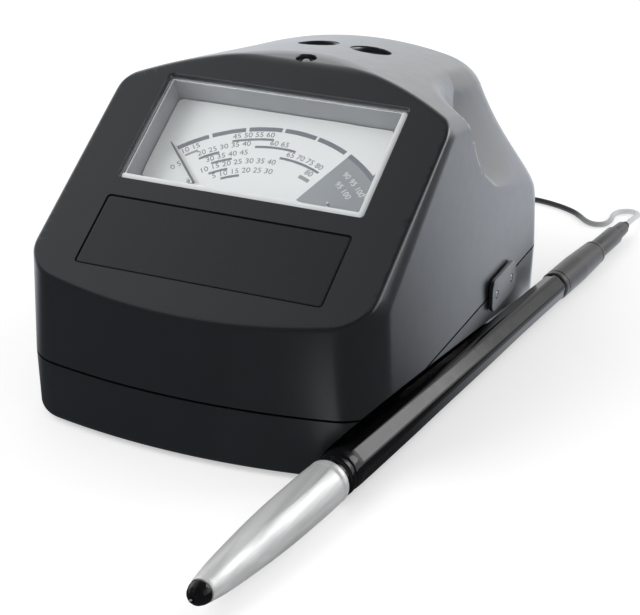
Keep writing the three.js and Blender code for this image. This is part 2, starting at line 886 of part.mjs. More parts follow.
// Movement: magnet ring, coil hub with its needle, bridge over the pivot and two stops.
const pivot = new THREE.Group();
pivot.position.set(0, meter.pivotV, 0);
faceGroup.add(pivot);
const needleBottom = -meter.dialDepth + meter.needleLift;
const magnetTop = needleBottom - fit;
let magnet = solid(ring(meter.magnetInner, meter.magnetOuter, housingFloor + fit, magnetTop));
const magnetCut = boxBetween(-meter.magnetInner / 2, meter.magnetInner / 2, -meter.magnetOuter - overrun, 0,
  housingFloor, 0);
magnet = magnet.subtract(solid(magnetCut));
const magnetTrim = boxBetween(-meter.magnetOuter - overrun, meter.magnetOuter + overrun,
  meter.dialLow - meter.pivotV - fit, meter.magnetOuter + overrun, housingFloor, magnetTop + overrun);
magnet = magnet.subtract(solid(magnetTrim));
add("meter_magnet", surface(magnet), "magnet", pivot);
add("meter_coil", post(meter.hubRadius, needleBottom - fit - meter.hubThick, needleBottom - fit), "copper",
  pivot);
const needleTop = needleBottom + meter.needleThick;
const needle = solid(post(meter.hubRadius / 2, needleBottom, needleTop)).add(
  solid(boxBetween(-meter.needleWidth / 2, meter.needleWidth / 2, -meter.magnetInner, needleLength,
    needleBottom, needleTop)));
add("pointer", surface(needle), "needle", pivot).rotation.z = rad(meter.restAngle);
const bridgeZ = needleTop + fit;
const bridge = solid(boxBetween(-meter.bridgeLength / 2, meter.bridgeLength / 2, -meter.bridgeWidth / 2,
  meter.bridgeWidth / 2, bridgeZ, bridgeZ + meter.bridgeThick));
const legs = [-1, 1].map((side) => solid(post(meter.bridgeWidth / 2, housingFloor + fit, bridgeZ + edge)
  .translate(side * (meter.bridgeLength / 2 - meter.bridgeWidth / 2), 0, 0)));
add("meter_bridge", surface(bridge.add(legs[0]).add(legs[1])), "brass", pivot);
for (const [name, side] of [["pointer_stop_left", 1], ["pointer_stop_right", -1]]) {
  const away = Math.asin((meter.stopRadius + meter.needleWidth / 2 + fit) / meter.stopReach);
  const angle = side * (rad(meter.restAngle) + away);
  add(name, post(meter.stopRadius, fit - meter.dialDepth, needleTop + edge, 8)
    .translate(-meter.stopReach * Math.sin(angle), meter.stopReach * Math.cos(angle), 0), "needle", pivot);
}

// Status light in the facet.
const lightTop = -led.drop;
add("light_ring", ring(led.ringInner, led.recess - fit, -body.wall - edge, lightTop - edge), "rubber",
  facetGroup);
add("status_light", turned([[0, -led.length], [led.lens, -led.length], [led.lens, lightTop - led.lens],
  [led.lens * cos(45), lightTop - led.lens * (1 - cos(45))], [0, lightTop]], count.small), "lens",
facetGroup);

// Two setting dials under the deck, each on its potentiometer, and the board that carries them.
for (const [name, x] of [["left", -dial.x], ["right", dial.x]]) {
  const group = new THREE.Group();
  group.applyMatrix4(deckMatrix(x));
  object.add(group);
  const knobTop = -dial.drop;
  const knobBottom = knobTop - dial.knobThick;
  const slot = boxBetween(-dial.slotLength / 2, dial.slotLength / 2, -dial.slotWidth / 2, dial.slotWidth / 2,
    knobTop - dial.slotDepth, knobTop + overrun);
  const knob = solid(post(dial.knob, knobBottom, knobTop, count.pen)).subtract(solid(slot));
  add(`setting_dial_${name}`, surface(knob), "rubber", group);
  const potTop = knobBottom - dial.shaftLength;
  const pot = solid(boxBetween(-dial.potSize / 2, dial.potSize / 2, -dial.potSize / 2, dial.potSize / 2,
    potTop - dial.potThick, potTop)).add(solid(post(dial.shaft, potTop - edge, knobBottom - fit)));
  add(`potentiometer_${name}`, surface(pot), "circuit", group);
}
const topBoard = new THREE.Group();
topBoard.applyMatrix4(deckMatrix(dial.x));
object.add(topBoard);
const topBoardZ = -pocketDepth() - fit;
add("upper_board", boxBetween(-board.topLength / 2 - dial.x, board.topLength / 2 - dial.x,
  -board.topWidth / 2, board.topWidth / 2, topBoardZ - board.thick, topBoardZ), "circuit", topBoard);

// Lower electronics.
add("main_board", boxBetween(board.mainX - board.mainLength / 2, board.mainX + board.mainLength / 2,
  board.mainY - board.mainWidth / 2, board.mainY + board.mainWidth / 2, mainZ, mainZ + board.thick),
"circuit");
const buzzerZ = body.floorHeight + body.wall + fit;
add("buzzer", post(buzzer.radius, buzzerZ, buzzerZ + buzzer.height, count.pen)
  .translate(screwPlaces[2][0] + buzzer.besideScrew, screwPlaces[2][1] - buzzer.aheadOfScrew, 0), "gloss");

// Battery bay: door, three cells and the two contact strips.
const doorTop = body.floorHeight + door.thick;
const doorEdge = (side) => cell.y + side * (bayWidth / 2 - fit);
let doorSolid = solid(boxBetween(cell.x - bayLength / 2 + fit, cell.x + bayLength / 2 - fit, doorEdge(-1),
  doorEdge(1), body.floorHeight, doorTop));
const ribHalf = bayLength / 2 - door.ribIn;
for (const side of [-1, 1]) {
  const rib = boxBetween(cell.x - ribHalf, cell.x + ribHalf, -door.ribThick / 2,
    door.ribThick / 2, doorTop - edge, doorTop + door.ribHeight);
  rib.translate(0, doorEdge(side) - side * door.ribThick / 2, 0);
  doorSolid = doorSolid.add(solid(rib));
}
doorSolid = doorSolid.subtract(solid(boxBetween(cell.x - door.gripWidth / 2, cell.x + door.gripWidth / 2,
  doorEdge(-1) + edge, doorEdge(-1) + edge + door.gripDepth, body.floorHeight - overrun,
  body.floorHeight + door.gripHeight)));
add("battery_door", surface(doorSolid), "shell");
for (let k = 0; k < 3; k += 1) {
  const turn = k % 2 === 0 ? 1 : -1;
  const end = (cell.length - cell.nubLength) / 2;
  const geometry = turned([[0, -end], [cell.radius, -end], [cell.radius, end], [cell.nub, end],
    [cell.nub, end + cell.nubLength], [0, end + cell.nubLength]], count.small);
  geometry.rotateY(turn * Math.PI / 2);
  add(`battery_${k + 1}`, geometry.translate(cell.x, cell.y + (k - 1) * cellPitch, cellZ), "cell");
}
for (const [name, side] of [["contact_left", -1], ["contact_right", 1]]) {
  const outer = cell.x + side * (bayLength / 2 - fit);
  const inner = cell.x + side * (cell.length / 2 + fit + door.contact);
  const stripX = [Math.min(outer, outer - side * door.contact), Math.max(outer, outer - side * door.contact)];
  const stripHalf = bayWidth / 2 - cell.sideRoom;
  let strip = solid(boxBetween(stripX[0], stripX[1], cell.y - stripHalf, cell.y + stripHalf,
    cellZ - door.contactHeight / 2, cellZ + door.contactHeight / 2));
  const reach = [Math.min(outer - side * edge / 2, inner), Math.max(outer - side * edge / 2, inner)];
  for (let k = -1; k <= 1; k += 1) {
    const padY = cell.y + k * cellPitch;
    strip = strip.add(solid(boxBetween(reach[0], reach[1], padY - cell.nub, padY + cell.nub,
      cellZ - cell.nub, cellZ + cell.nub)));
  }
  add(name, surface(strip), "brass");
}

// Screws from below and rubber feet.
screwPlaces.forEach(([x, y], k) => {
  const head = body.floorHeight + screw.recess;
  add(`casing_screw_${k + 1}`, turned([[0, head], [screw.head, head], [screw.head, head + screw.headThick],
    [screw.shank, head + screw.headThick], [screw.shank, screwTop], [0, screwTop]], count.small)
    .translate(x, y, 0), "steel");
});
footPlaces.forEach(([x, y], k) => {
  add(`foot_${k + 1}`, post(foot.radius, 0, foot.height, count.pen).translate(x, y, 0), "rubber");
});

// Plate with two screws on the right wall, across the parting line.
const plateX = half + fit;
const plateLoop = (inset, x) => roundedLoop(-plate.length / 2 + inset, plate.length / 2 - inset,
  -plate.height / 2 + inset, plate.height / 2 - inset, plate.corner, 0)
  .map((p) => new THREE.Vector3(x, plate.y + p.x, body.partingHeight + p.y));
const plateOut = plateX + plate.thick;
const plateScrew = plate.length / 2 - plate.screwIn;
let sidePlate = solid(loft([plateLoop(0, plateX), plateLoop(0, plateOut - edge),
  plateLoop(edge / 2, plateOut)]));
for (const side of [-1, 1]) {
  const seat = post(plate.screwRadius + fit / 2, -plate.screwThick, overrun).rotateY(Math.PI / 2)
    .translate(plateOut, plate.y + side * plateScrew, body.partingHeight);
  sidePlate = sidePlate.subtract(solid(seat));
}
add("side_plate", surface(sidePlate), "shell");
for (const [name, side] of [["plate_screw_front", -1], ["plate_screw_rear", 1]]) {
  add(name, post(plate.screwRadius - fit / 2, fit / 2 - plate.screwThick, 0, count.tiny).rotateY(Math.PI / 2)
    .translate(plateOut, plate.y + side * plateScrew, body.partingHeight), "steel");
}

// Rear wall: slide switch, power inlet and probe socket.
function rearRing(piece) {
  return onRear(turned([[piece.bore, -piece.length], [piece.radius, -piece.length], [piece.radius, fit],
    [piece.flange, fit], [piece.flange, piece.flangeThick], [piece.bore, piece.flangeThick],
    [piece.bore, -piece.length]], count.small), rearX(piece), piece.flange);
}
add("power_inlet", rearRing(inlet), "rubber");
add("inlet_pin", onRear(turned([[0, -inlet.length - overrun], [inlet.bore, -inlet.length - overrun],
  [inlet.bore, -inlet.length - fit], [inlet.pin, -inlet.length - fit], [inlet.pin, -fit], [0, -fit]],
count.tiny), rearX(inlet), inlet.flange), "steel");
add("probe_socket", rearRing(socket), "rubber");

const toggleY = rearSeatY(toggle.x, toggle.length / 2 + toggle.flange + fit) + fit;
const toggleBack = toggleY - toggle.depth;
const frameHalf = toggle.length / 2 + toggle.flange;
const frameOuter = boxBetween(toggle.x - frameHalf, toggle.x + frameHalf, toggleY, toggleY + toggle.thick,
  backHeight - toggle.height / 2 - toggle.flange, backHeight + toggle.height / 2 + toggle.flange);
const frameNeck = boxBetween(toggle.x - toggle.length / 2 + fit, toggle.x + toggle.length / 2 - fit,
  toggleBack, toggleY + edge, backHeight - toggle.height / 2 + fit,
  backHeight + toggle.height / 2 - fit);
const slideHalf = toggle.knobLength / 2 + toggle.travel / 2 + fit;
const frameSlot = boxBetween(toggle.x - slideHalf, toggle.x + slideHalf, toggleBack + toggle.thick,
  toggleY + overrun, backHeight - toggle.knobHeight / 2 - fit, backHeight + toggle.knobHeight / 2 + fit);
add("switch_frame", surface(solid(frameOuter).add(solid(frameNeck)).subtract(solid(frameSlot))), "rubber");
const sliderX = toggle.x - toggle.travel / 2;
add("switch_slider", boxBetween(sliderX - toggle.knobLength / 2, sliderX + toggle.knobLength / 2,
  toggleBack + toggle.thick + fit, toggleY + toggle.thick + toggle.reach,
  backHeight - toggle.knobHeight / 2, backHeight + toggle.knobHeight / 2), "gloss");

// Pen.

// The bright nose widens from its tip to a belly near the back. Each pair is a share of the
// nose's length, from front to back, and a share of its largest radius.
const noseShares = [[0, 0.52], [0.04, 0.6], [0.12, 0.7], [0.25, 0.8], [0.33, 0.85], [0.41, 0.9], [0.5, 0.94],
  [0.6, 0.975], [0.72, 0.99], [0.85, 1], [1, 0.98]];
// The barrel narrows from the collar to the sleeve, in the same kind of pairs.
const barrelShares = [[0, 0.95], [0.008, 1], [0.1, 0.985], [0.25, 0.945], [0.37, 0.895], [0.6, 0.825],
  [0.78, 0.745], [1, 0.7]];

// The radius at a station of a piece given by shares.
function radiusAt(station, from, to, radius, shares) {
  const share = Math.min(Math.max((station - from) / (to - from), 0), 1);
  const k = Math.max(shares.findIndex(([place]) => place >= share), 1);
  const [[a, low], [b, high]] = [shares[k - 1], shares[k]];
  return radius * (low + (high - low) * (share - a) / (b - a));
}

// A closed body along the pen from its radius at each station and angle, measured from the top.
function penBody(stations, angles, reach) {
  return loft(stations.map((s) => angles.map((angle) => {
    const radius = reach(s, angle);
    return new THREE.Vector3(radius * Math.sin(angle), -radius * Math.cos(angle), s);
  })));
}

function closed(pairs) {
  return [...pairs, pairs[0]];
}

add("probe_needle", turned([[0, pen.needleTip], [pen.needleRadius / 2, pen.needleTip],
  [pen.needleRadius, pen.needleTip + edge], [pen.needleRadius, pen.needleBack - pen.needleFlangeThick],
  [pen.needleFlange, pen.needleBack - pen.needleFlangeThick], [pen.needleFlange, pen.needleBack],
  [0, pen.needleBack]], count.tiny), "steel", penGroup);
const needleHole = pen.needleRadius + fit;
add("probe_tip", turned(closed([[needleHole, pen.tipFront], [pen.tipFrontRadius, pen.tipFront],
  [(pen.tipFrontRadius + pen.tipRadius) / 2 + edge, pen.tipFront + 2 * edge], [pen.tipRadius, pen.tipBack],
  [needleHole, pen.tipBack]]), count.pen), "gloss", penGroup);
const noseFront = pen.tipBack + fit;
const boreFrom = pen.needleBack - pen.needleFlangeThick - fit;

// The nose has one flat on top, which starts where the nose has grown wider than it.
function noseReach(s, angle) {
  const radius = radiusAt(s, noseFront, pen.noseBack, pen.noseRadius, noseShares);
  const flat = pen.noseFlatFrom + (pen.noseFlatTo - pen.noseFlatFrom) * (1 - s / pen.noseFlatStart);
  return Math.cos(angle) > 0.5 ? Math.min(radius, flat / Math.cos(angle)) : radius;
}
const noseStations = noseShares.map(([share]) => noseFront + (pen.noseBack - noseFront) * share);
const around = Array.from({ length: count.pen }, (_, i) => 2 * Math.PI * i / count.pen);
const noseBore = turned([[0, noseFront - overrun], [needleHole, noseFront - overrun], [needleHole, boreFrom],
  [pen.noseMouth, boreFrom], [pen.noseMouth, pen.sensorFront], [pen.noseBore, pen.sensorFront],
  [pen.noseBore, pen.noseBack + overrun], [0, pen.noseBack + overrun]], count.small);
const nose = solid(penBody(noseStations, around, noseReach)).subtract(solid(noseBore));
add("probe_nose", surface(nose), "chrome", penGroup);
add("probe_spring", ring(needleHole, pen.needleFlange, pen.needleBack + pen.needleTravel + fit,
  pen.sensorFront - fit), "steel", penGroup);
add("probe_sensor", post(pen.sensorRadius, pen.sensorFront + fit, pen.sensorBack), "copper", penGroup);
const collarFront = pen.noseBack + fit;
const collarMiddle = (pen.noseBack + pen.collarBack) / 2;
add("probe_collar", turned(closed([[pen.tailBore, collarFront], [pen.collarWaist, collarFront],
  [pen.collarWaist, collarMiddle], [pen.collarRing, collarMiddle + fit / 2],
  [pen.collarRing, pen.collarBack - edge / 2], [pen.collarRing - edge / 2, pen.collarBack],
  [pen.tailBore, pen.collarBack]]), count.pen), "gloss", penGroup);

// The barrel is round at its front and has long flats, with rounds between them, behind that.
const barrelFront = pen.collarBack + fit;
const flatHalf = Math.asin(pen.flatWidth / 2 / pen.barrelRadius);
const flatStep = 2 * Math.PI / pen.flats;
const flatAngles = Array.from({ length: pen.flats }, (_, k) => {
  const middle = rad(pen.flatTurn) + k * flatStep;
  return [-flatHalf, -flatHalf / 3, flatHalf / 3, flatHalf, flatStep / 2].map((turn) => middle + turn);
}).flat();
function barrelReach(s, angle) {
  const radius = radiusAt(s, barrelFront, pen.barrelBack, pen.barrelRadius, barrelShares);
  const fromFlat = Math.abs(((angle - rad(pen.flatTurn)) / flatStep + pen.flats + 0.5) % 1 - 0.5) * flatStep;
  const onFlat = s > pen.flatStart && fromFlat < flatHalf;
  return onFlat ? radius * Math.cos(flatHalf) / Math.cos(fromFlat) : radius;
}
const barrelLength = pen.barrelBack - barrelFront;
const barrelStations = [...barrelShares.map(([share]) => barrelFront + barrelLength * share), pen.flatStart,
  pen.flatStart + edge].sort((a, b) => a - b);
const barrelBore = post(pen.barrelBore, barrelFront - overrun, pen.barrelBack + overrun);
const barrel = solid(penBody(barrelStations, flatAngles, barrelReach)).subtract(solid(barrelBore));
add("probe_barrel", surface(barrel), "gloss", penGroup);

const sleeveFront = pen.barrelBack + fit;
add("probe_sleeve", turned(closed([[pen.sleeveBore, sleeveFront], [pen.sleeveRadius - edge / 2, sleeveFront],
  [pen.sleeveRadius, sleeveFront + edge], [pen.sleeveRadius, (sleeveFront + pen.sleeveBack) / 2],
  [pen.sleeveRear, pen.sleeveBack - edge], [pen.sleeveRear - edge, pen.sleeveBack],
  [pen.sleeveBore, pen.sleeveBack]]), count.pen), "rubber", penGroup);
const tailFront = pen.sleeveBack + fit;
add("probe_tail", turned(closed([[pen.tailBore, tailFront], [pen.tailRadius, tailFront],
  [pen.tailRadius * pen.tailShare, pen.tailBack - edge],
  [pen.tailRadius * pen.tailShare - edge, pen.tailBack],
  [pen.tailBore, pen.tailBack]]), count.pen), "rubber", penGroup);
const capFront = pen.tailBack + fit;
add("probe_end_cap", turned(closed([[pen.nubRadius / 2, capFront], [pen.capFront, capFront],
  [pen.capRear, pen.capBack - edge], [pen.capRear - edge, pen.capBack], [pen.nubRadius / 2, pen.capBack]]),
  count.pen), "rubber", penGroup);
const nubFront = pen.capBack + fit;
add("probe_strain_relief", post(pen.nubRadius, nubFront, pen.nubBack, count.tiny), "rubber", penGroup);

// Cord.

// A tube along a smooth curve through points.
function tube(points, steps, sides = count.cordSides) {
  const path = new THREE.CatmullRomCurve3(points, false, "centripetal");
  const section = new THREE.Shape();
  for (let i = 0; i < sides; i += 1) {
    const angle = 2 * Math.PI * (i + 0.5) / sides;
    const [x, y] = [cord.radius * Math.cos(angle), cord.radius * Math.sin(angle)];
    if (i === 0) {
      section.moveTo(x, y);
    } else {
      section.lineTo(x, y);
    }
  }
  section.closePath();
  return new THREE.ExtrudeGeometry(section, { steps, extrudePath: path, bevelEnabled: false });
}

// Centre line of the coil: inward on the lower layer, a climb, and outward on the upper layer.
function coilPoint(turn) {
  const radius = cord.coilInner + cord.pitch * Math.abs(turn - cord.turnsIn);
  const climb = smooth(cord.turnsIn - 0.25, cord.turnsIn + 0.25, turn);
  const angle = -Math.PI / 2 - 2 * Math.PI * turn;
  return new THREE.Vector3(cord.coilX + radius * Math.cos(angle), cord.coilY + radius * Math.sin(angle),
    cord.radius + cord.rise * climb);
}

const coilTurns = cord.turnsIn + cord.turnsOut;
const coilSteps = coilTurns * count.loopSteps;
const coilPoints = Array.from({ length: coilSteps + 1 }, (_, i) => coilPoint(coilTurns * i / coilSteps));
const straight = 2 * cord.radius;
const coilIn = coilPoints[0].clone().sub(coilPoints[1]).normalize();
const coilOut = coilPoints.at(-1).clone().sub(coilPoints.at(-2)).normalize();
coilIn.z = 0;
coilOut.z = 0;
const coilEntry = coilPoints[0].clone().addScaledVector(coilIn, straight);
const coilExit = coilPoints.at(-1).clone().addScaledVector(coilOut, straight);

// A six-sided tube round a line of points, closed at both ends.
function coilTube(points) {
  const loops = points.map((p, i) => {
    const before = points[Math.max(i - 1, 0)];
    const after = points[Math.min(i + 1, points.length - 1)];
    const along = after.clone().sub(before).normalize();
    const side = new THREE.Vector3(along.y, -along.x, 0).normalize();
    const up = side.clone().cross(along);
    return Array.from({ length: count.loopSides }, (_, k) => {
      const angle = 2 * Math.PI * (k + 0.5) / count.loopSides;
      return p.clone().addScaledVector(side, cord.radius * Math.cos(angle))
        .addScaledVector(up, cord.radius * Math.sin(angle));
    });
  });
  return loft(loops);
}

// Least gap between stretches of the coil that lie more than half a turn apart along it.
function leastGap(points) {
  let least = Infinity;
  for (let i = 0; i < points.length; i += 1) {
    for (let j = i + count.loopSteps / 2; j < points.length; j += 1) {
      least = Math.min(least, points[i].distanceTo(points[j]));
    }
  }
  return least - 2 * cord.radius;
}
const coilLine = [coilEntry, ...coilPoints, coilExit];
console.log(`least gap between the coil's turns: ${leastGap(coilLine).toFixed(2)} mm`);
add("cord_coil", coilTube(coilLine), "cord");

// A flat tie round the bundle at the coil's right side.
const tieInner = cord.coilInner - cord.radius - fit;
const tieOuter = cord.coilInner + cord.pitch * cord.turnsIn + cord.radius + fit;
const tieTop = 2 * cord.radius + cord.rise + fit;
const tieBox = boxBetween(tieInner - cord.tieThick, tieOuter + cord.tieThick, -cord.tieWidth / 2,
  cord.tieWidth / 2, 0, tieTop + cord.tieThick);
const tieHole = boxBetween(tieInner, tieOuter, -overrun - cord.tieWidth, cord.tieWidth + overrun, -overrun,
  tieTop);
const tieGeometry = surface(solid(tieBox).subtract(solid(tieHole)));
tieGeometry.translate(cord.coilX, cord.coilY, 0);
add("cord_tie", tieGeometry, "rubber");

const socketX = rearX(socket);
const plugStart = rearSeatY(socketX, socket.flange) + socket.flangeThick + fit;
const plugBack = plugStart + cord.plugLength + cord.plugNeckLength;
add("probe_plug", turned([[0, -socket.length / 2], [socket.bore - fit, -socket.length / 2],
  [socket.bore - fit, 0], [cord.plugRadius, 0], [cord.plugRadius, cord.plugLength - edge],
  [cord.plugRadius - edge, cord.plugLength], [cord.plugNeck, cord.plugLength],
  [cord.plugNeck * cord.plugNeckShare, cord.plugLength + cord.plugNeckLength],
  [0, cord.plugLength + cord.plugNeckLength]], count.small).rotateX(-Math.PI / 2)
  .translate(socketX, plugStart, backHeight), "rubber");

// From the plug down to the table and round to the coil.
const v3 = (x, y, z) => new THREE.Vector3(x, y, z);
const cordRoute = {
  root: [[21.9, 142, 9.7], [20.6, 145.7, 6.6], [17.2, 148.4, 3.4], [12, 149.2, 1.5], [6, 148.6, 1.0],
    [-1, 147.5, 1.0]],
  run: [[-4, 175.2, 2.3], [3, 176.8, 1.2], [11, 179.2, 1.0], [20, 181.9, 1.0], [28.9, 183.2, 1.0],
    [38, 181.2, 1.0], [45, 177.8, 1.0], [48.3, 174.9, 1.0], [51.6, 171.6, 1.0], [54.8, 170.2, 1.0],
    [57.8, 171.4, 1.0], [59, 174.4, 1.0], [59, 177.6, 1.0], [58.7, 181.2, 1.0], [60, 184.3, 1.1],
    [63, 185.6, 1.3], [66, 184.3, 1.6], [67.3, 181.2, 2.2], [67.6, 175.6, 3.4]],
};
const plugTip = v3(socketX, plugBack + fit, backHeight);
const rootPoints = [plugTip, plugTip.clone().add(v3(0, straight, 0)), ...cordRoute.root.map((p) => v3(...p)),
  coilEntry.clone().addScaledVector(coilIn, straight + fit), coilEntry.clone().addScaledVector(coilIn, fit)];
add("cord_root_run", tube(rootPoints, count.rootSteps), "cord");

const nubEnd = penStation.clone().addScaledVector(penAxis, pen.nubBack + fit);
const runPoints = [coilExit.clone().addScaledVector(coilOut, fit),
  coilExit.clone().addScaledVector(coilOut, straight + fit), ...cordRoute.run.map((p) => v3(...p)),
  nubEnd.clone().addScaledVector(penAxis, straight), nubEnd];
add("cord_run", tube(runPoints, count.runSteps), "cord");

// Origin.

// Under the middle of the box round everything but the cord and its plug.
const cordNames = ["cord_root_run", "cord_coil", "cord_tie", "cord_run", "probe_plug"];
object.updateMatrixWorld(true);
const box = new THREE.Box3();
object.traverse((item) => {
  if (item.isMesh && !cordNames.includes(item.name)) {
    box.union(new THREE.Box3().setFromObject(item, true));
  }
});
const middle = box.getCenter(new THREE.Vector3());
object.position.set(-middle.x, -middle.y, -box.min.z);
object.updateMatrixWorld(true);

export default object;
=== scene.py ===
"""Looks of the bench tester: housing, meter, label plate, dials, side plate, pen and cord.

Sizes are in millimetres in the frame the part was drawn in, with the middle of the face's
reference line at x = 0, y = 0 and the table at z = 0. place() turns them into metres in
the part's own frame. A body is its points, its four-sided and its three-sided faces.
"""

import math

import bpy
import numpy as np
from mathutils import Matrix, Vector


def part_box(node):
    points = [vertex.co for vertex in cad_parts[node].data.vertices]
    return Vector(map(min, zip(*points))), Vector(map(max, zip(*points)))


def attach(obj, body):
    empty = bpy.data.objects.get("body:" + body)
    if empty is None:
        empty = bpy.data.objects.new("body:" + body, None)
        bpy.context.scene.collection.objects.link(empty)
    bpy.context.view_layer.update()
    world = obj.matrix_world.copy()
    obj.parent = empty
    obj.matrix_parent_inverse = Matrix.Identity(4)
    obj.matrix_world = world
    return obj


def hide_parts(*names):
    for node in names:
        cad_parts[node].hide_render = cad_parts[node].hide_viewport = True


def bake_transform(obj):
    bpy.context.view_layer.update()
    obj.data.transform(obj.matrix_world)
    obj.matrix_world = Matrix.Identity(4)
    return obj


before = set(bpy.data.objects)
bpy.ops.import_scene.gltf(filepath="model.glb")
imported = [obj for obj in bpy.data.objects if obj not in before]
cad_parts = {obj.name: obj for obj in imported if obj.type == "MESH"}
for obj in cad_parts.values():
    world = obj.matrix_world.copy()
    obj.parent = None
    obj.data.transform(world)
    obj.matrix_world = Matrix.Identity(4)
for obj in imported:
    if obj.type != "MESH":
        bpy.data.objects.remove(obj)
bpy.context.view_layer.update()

MM = 0.001
TINY = 1e-9
FIT = 0.3
SHARP, SKIN_SHARP = 35.0, 32
WHITE = (1.0, 1.0, 1.0, 1.0)
COOL = (0.94, 0.975, 1.04, 1.0)

# Housing, in the part's own named sizes.
WIDTH, PARTING, FLOOR, WALL, JOINT = 109.4, 19.6, 1.2, 2.2, 0.5
FRONT_Y, REAR_Y, FRONT_BOW, REAR_BOW = -36.3, 119.0, 200.0, 260.0
FRONT_CORNER, REAR_CORNER = 11.2, 12.0
UPPER_DRAFT, LOWER_DRAFT, FOOT_ROUND = 1.8, 2.0, 2.4
SLOPE, FACE_Z, FACE_HALF, BAND_ANGLE = 30.67, 65.5, 52.1, 19.6
FACE_TOP = 51.04
FACET_SLOPE = 3.0
FALL, CROWN, SHOULDER, LEAN_FROM, LEAN, RISE = 11.3, 115.0, 4.0, 36.0, 15.0, 1.9
BOSSES = ((-33, -25), (33, -25), (-41, 93), (41, 93))
POST_R, SCREW_HOLE_R, SCREW_HEAD_R = 3.8, 1.65, 3.0
SCREW_TOP = PARTING + 9.4
FACET_ROUND, BAND_ROUND, FACE_ROUND, LIP_ROUND = 0.7, 0.9, 0.8, 0.1
LOW_LIP, HIGH_LIP = PARTING - JOINT / 2, PARTING + JOINT / 2
FEET = ((-42.0, -7.0), (26, -7), (-42, 78), (42, 78))

# Face and deck.
LABEL_LOW, LABEL_HIGH, LABEL_HALF, LABEL_GAP, LABEL_DEPTH = -30.1, -6.4, 37.3, 0.45, 0.8
WINDOW_HALF, WINDOW_LOW, WINDOW_HIGH = 38.25, 0.3, 40.4
CARD_TOP, INK, DIGIT = -12.3, 0.035, 2.6
SCALE_MIDDLE, SCALE_R, SCALE_WIDE = -10.8, 44.9, 1.5
PIVOT_V, NEEDLE_LOW, NEEDLE_HIGH = -10.4, -10.9, -10.55
DIAL_X, DIAL_SHARE, DIAL_HOLE, KNOB_R, LIGHT_BACK = 8.9, 0.543, 6.1, 5.3, 3.9

# Battery bay, and the rear wall's inlet and socket: place, flange, body, bore and length.
BAY_X, BAY_Y, DOOR_THICK = -9, 34, 1.6
REAR_HEIGHT, SEAT_DEPTH, FLANGE_THICK = 10.8, 0.6, 1.2
INLET, SOCKET = (-34, 5.2, 4.2, 2.9, 11), (22, 5.4, 4.4, 2.6, 12)
SWITCH_X, SWITCH_HALF, SWITCH_DEEP = -8, 7.9, 6

# Pen: radii, and stations along its axis from the joint of nose and barrel.
NOSE_R, BARREL_R, SLEEVE_R, PEN_BORE = 6.55, 6.3, 4.75, 3.2
NOSE_FRONT, NOSE_BACK, BARREL_FRONT, BARREL_END, NUB_BACK = -65.5, -3, 1.9, 143.2, 204.4
PEN_REST, PEN_REST_SPAN = 12.4, 172.4
COVE_GAP, COVE_LEAN = 0.45, 41


def sin(degrees):
    return math.sin(math.radians(degrees))


def cos(degrees):
    return math.cos(math.radians(degrees))


def tan(degrees):
    return math.tan(math.radians(degrees))


FACET_Y = FACE_TOP * cos(SLOPE)
FACET_Z = FACE_Z + FACE_TOP * sin(SLOPE)
DECK_Z = FACET_Z + RISE
DIAL_Y = FACET_Y + DIAL_SHARE * (REAR_Y - (DECK_Z - LEAN_FROM) * tan(LEAN) - FACET_Y)
LIGHT_Y = FACET_Y + LIGHT_BACK

foot_low, foot_high = (np.array(corner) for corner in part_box("foot_1"))
SHIFT = (foot_low + foot_high) / 2 - np.array([*FEET[0], 0.0]) * MM
SHIFT[2] = foot_low[2]


def place(points):
    """Millimetres where the part was drawn, as metres in the part's frame."""
    return np.asarray(points, float) * MM + SHIFT


def unit(vectors):
    """Vectors of the same directions with a length of one."""
    return vectors / np.maximum(np.linalg.norm(vectors, axis=-1, keepdims=True), TINY)


# Frames: an origin and the directions of local x, y and z.


def turned_about_x(degrees, origin):
    """A frame tipped about the x axis."""
    c, s = cos(degrees), sin(degrees)
    return np.array(origin, float), np.array([[1, 0, 0], [0, c, s], [0, -s, c]])


def facet_height(y):
    return FACET_Z + (y - FACET_Y) * tan(FACET_SLOPE)


def deck_height(x, y):
    return DECK_Z - (y - FACET_Y) * tan(FALL) - x * x / (2 * CROWN)


FACE = turned_about_x(SLOPE, (0, 0, FACE_Z))
LIGHT = turned_about_x(FACET_SLOPE, (0, LIGHT_Y, facet_height(LIGHT_Y)))
PLATE = np.array([WIDTH / 2 + FIT, 69.8, PARTING]), np.array([[0.0, 1, 0], [0, 0, 1], [1, 0, 0]])


def deck_frame(x):
    return turned_about_x(-FALL, (x, DIAL_Y, deck_height(x, DIAL_Y)))


def rear_frame(x, half, out=0.0):
    """On the flat seat in the bowed rear wall, or out from it, with local z out of the wall."""
    widest = abs(x) + half
    y = REAR_Y - REAR_BOW + math.sqrt(REAR_BOW**2 - widest**2) - SEAT_DEPTH
    axes = np.array([[1.0, 0, 0], [0, 0, -1], [0, 1, 0]])
    return np.array([x, y, REAR_HEIGHT]) + [0, out, 0], axes


PEN_FALL = (NOSE_R - SLEEVE_R) / PEN_REST_SPAN
PEN_STATION = np.array([WIDTH / 2 - 8.4, -37.0, NOSE_R - PEN_REST * PEN_FALL])
PEN_TAIL = np.array([WIDTH / 2 + 6.3, 105.7, PEN_STATION[2] - BARREL_END * PEN_FALL])
PEN_AXIS = unit(PEN_TAIL - PEN_STATION)
PEN_SIDE = np.array([PEN_AXIS[1], -PEN_AXIS[0], 0]) / np.hypot(PEN_AXIS[0], PEN_AXIS[1])
PEN_UP = np.cross(PEN_SIDE, PEN_AXIS)
PEN = (PEN_STATION, np.array([PEN_SIDE, -PEN_UP, PEN_AXIS]))

# Bodies.


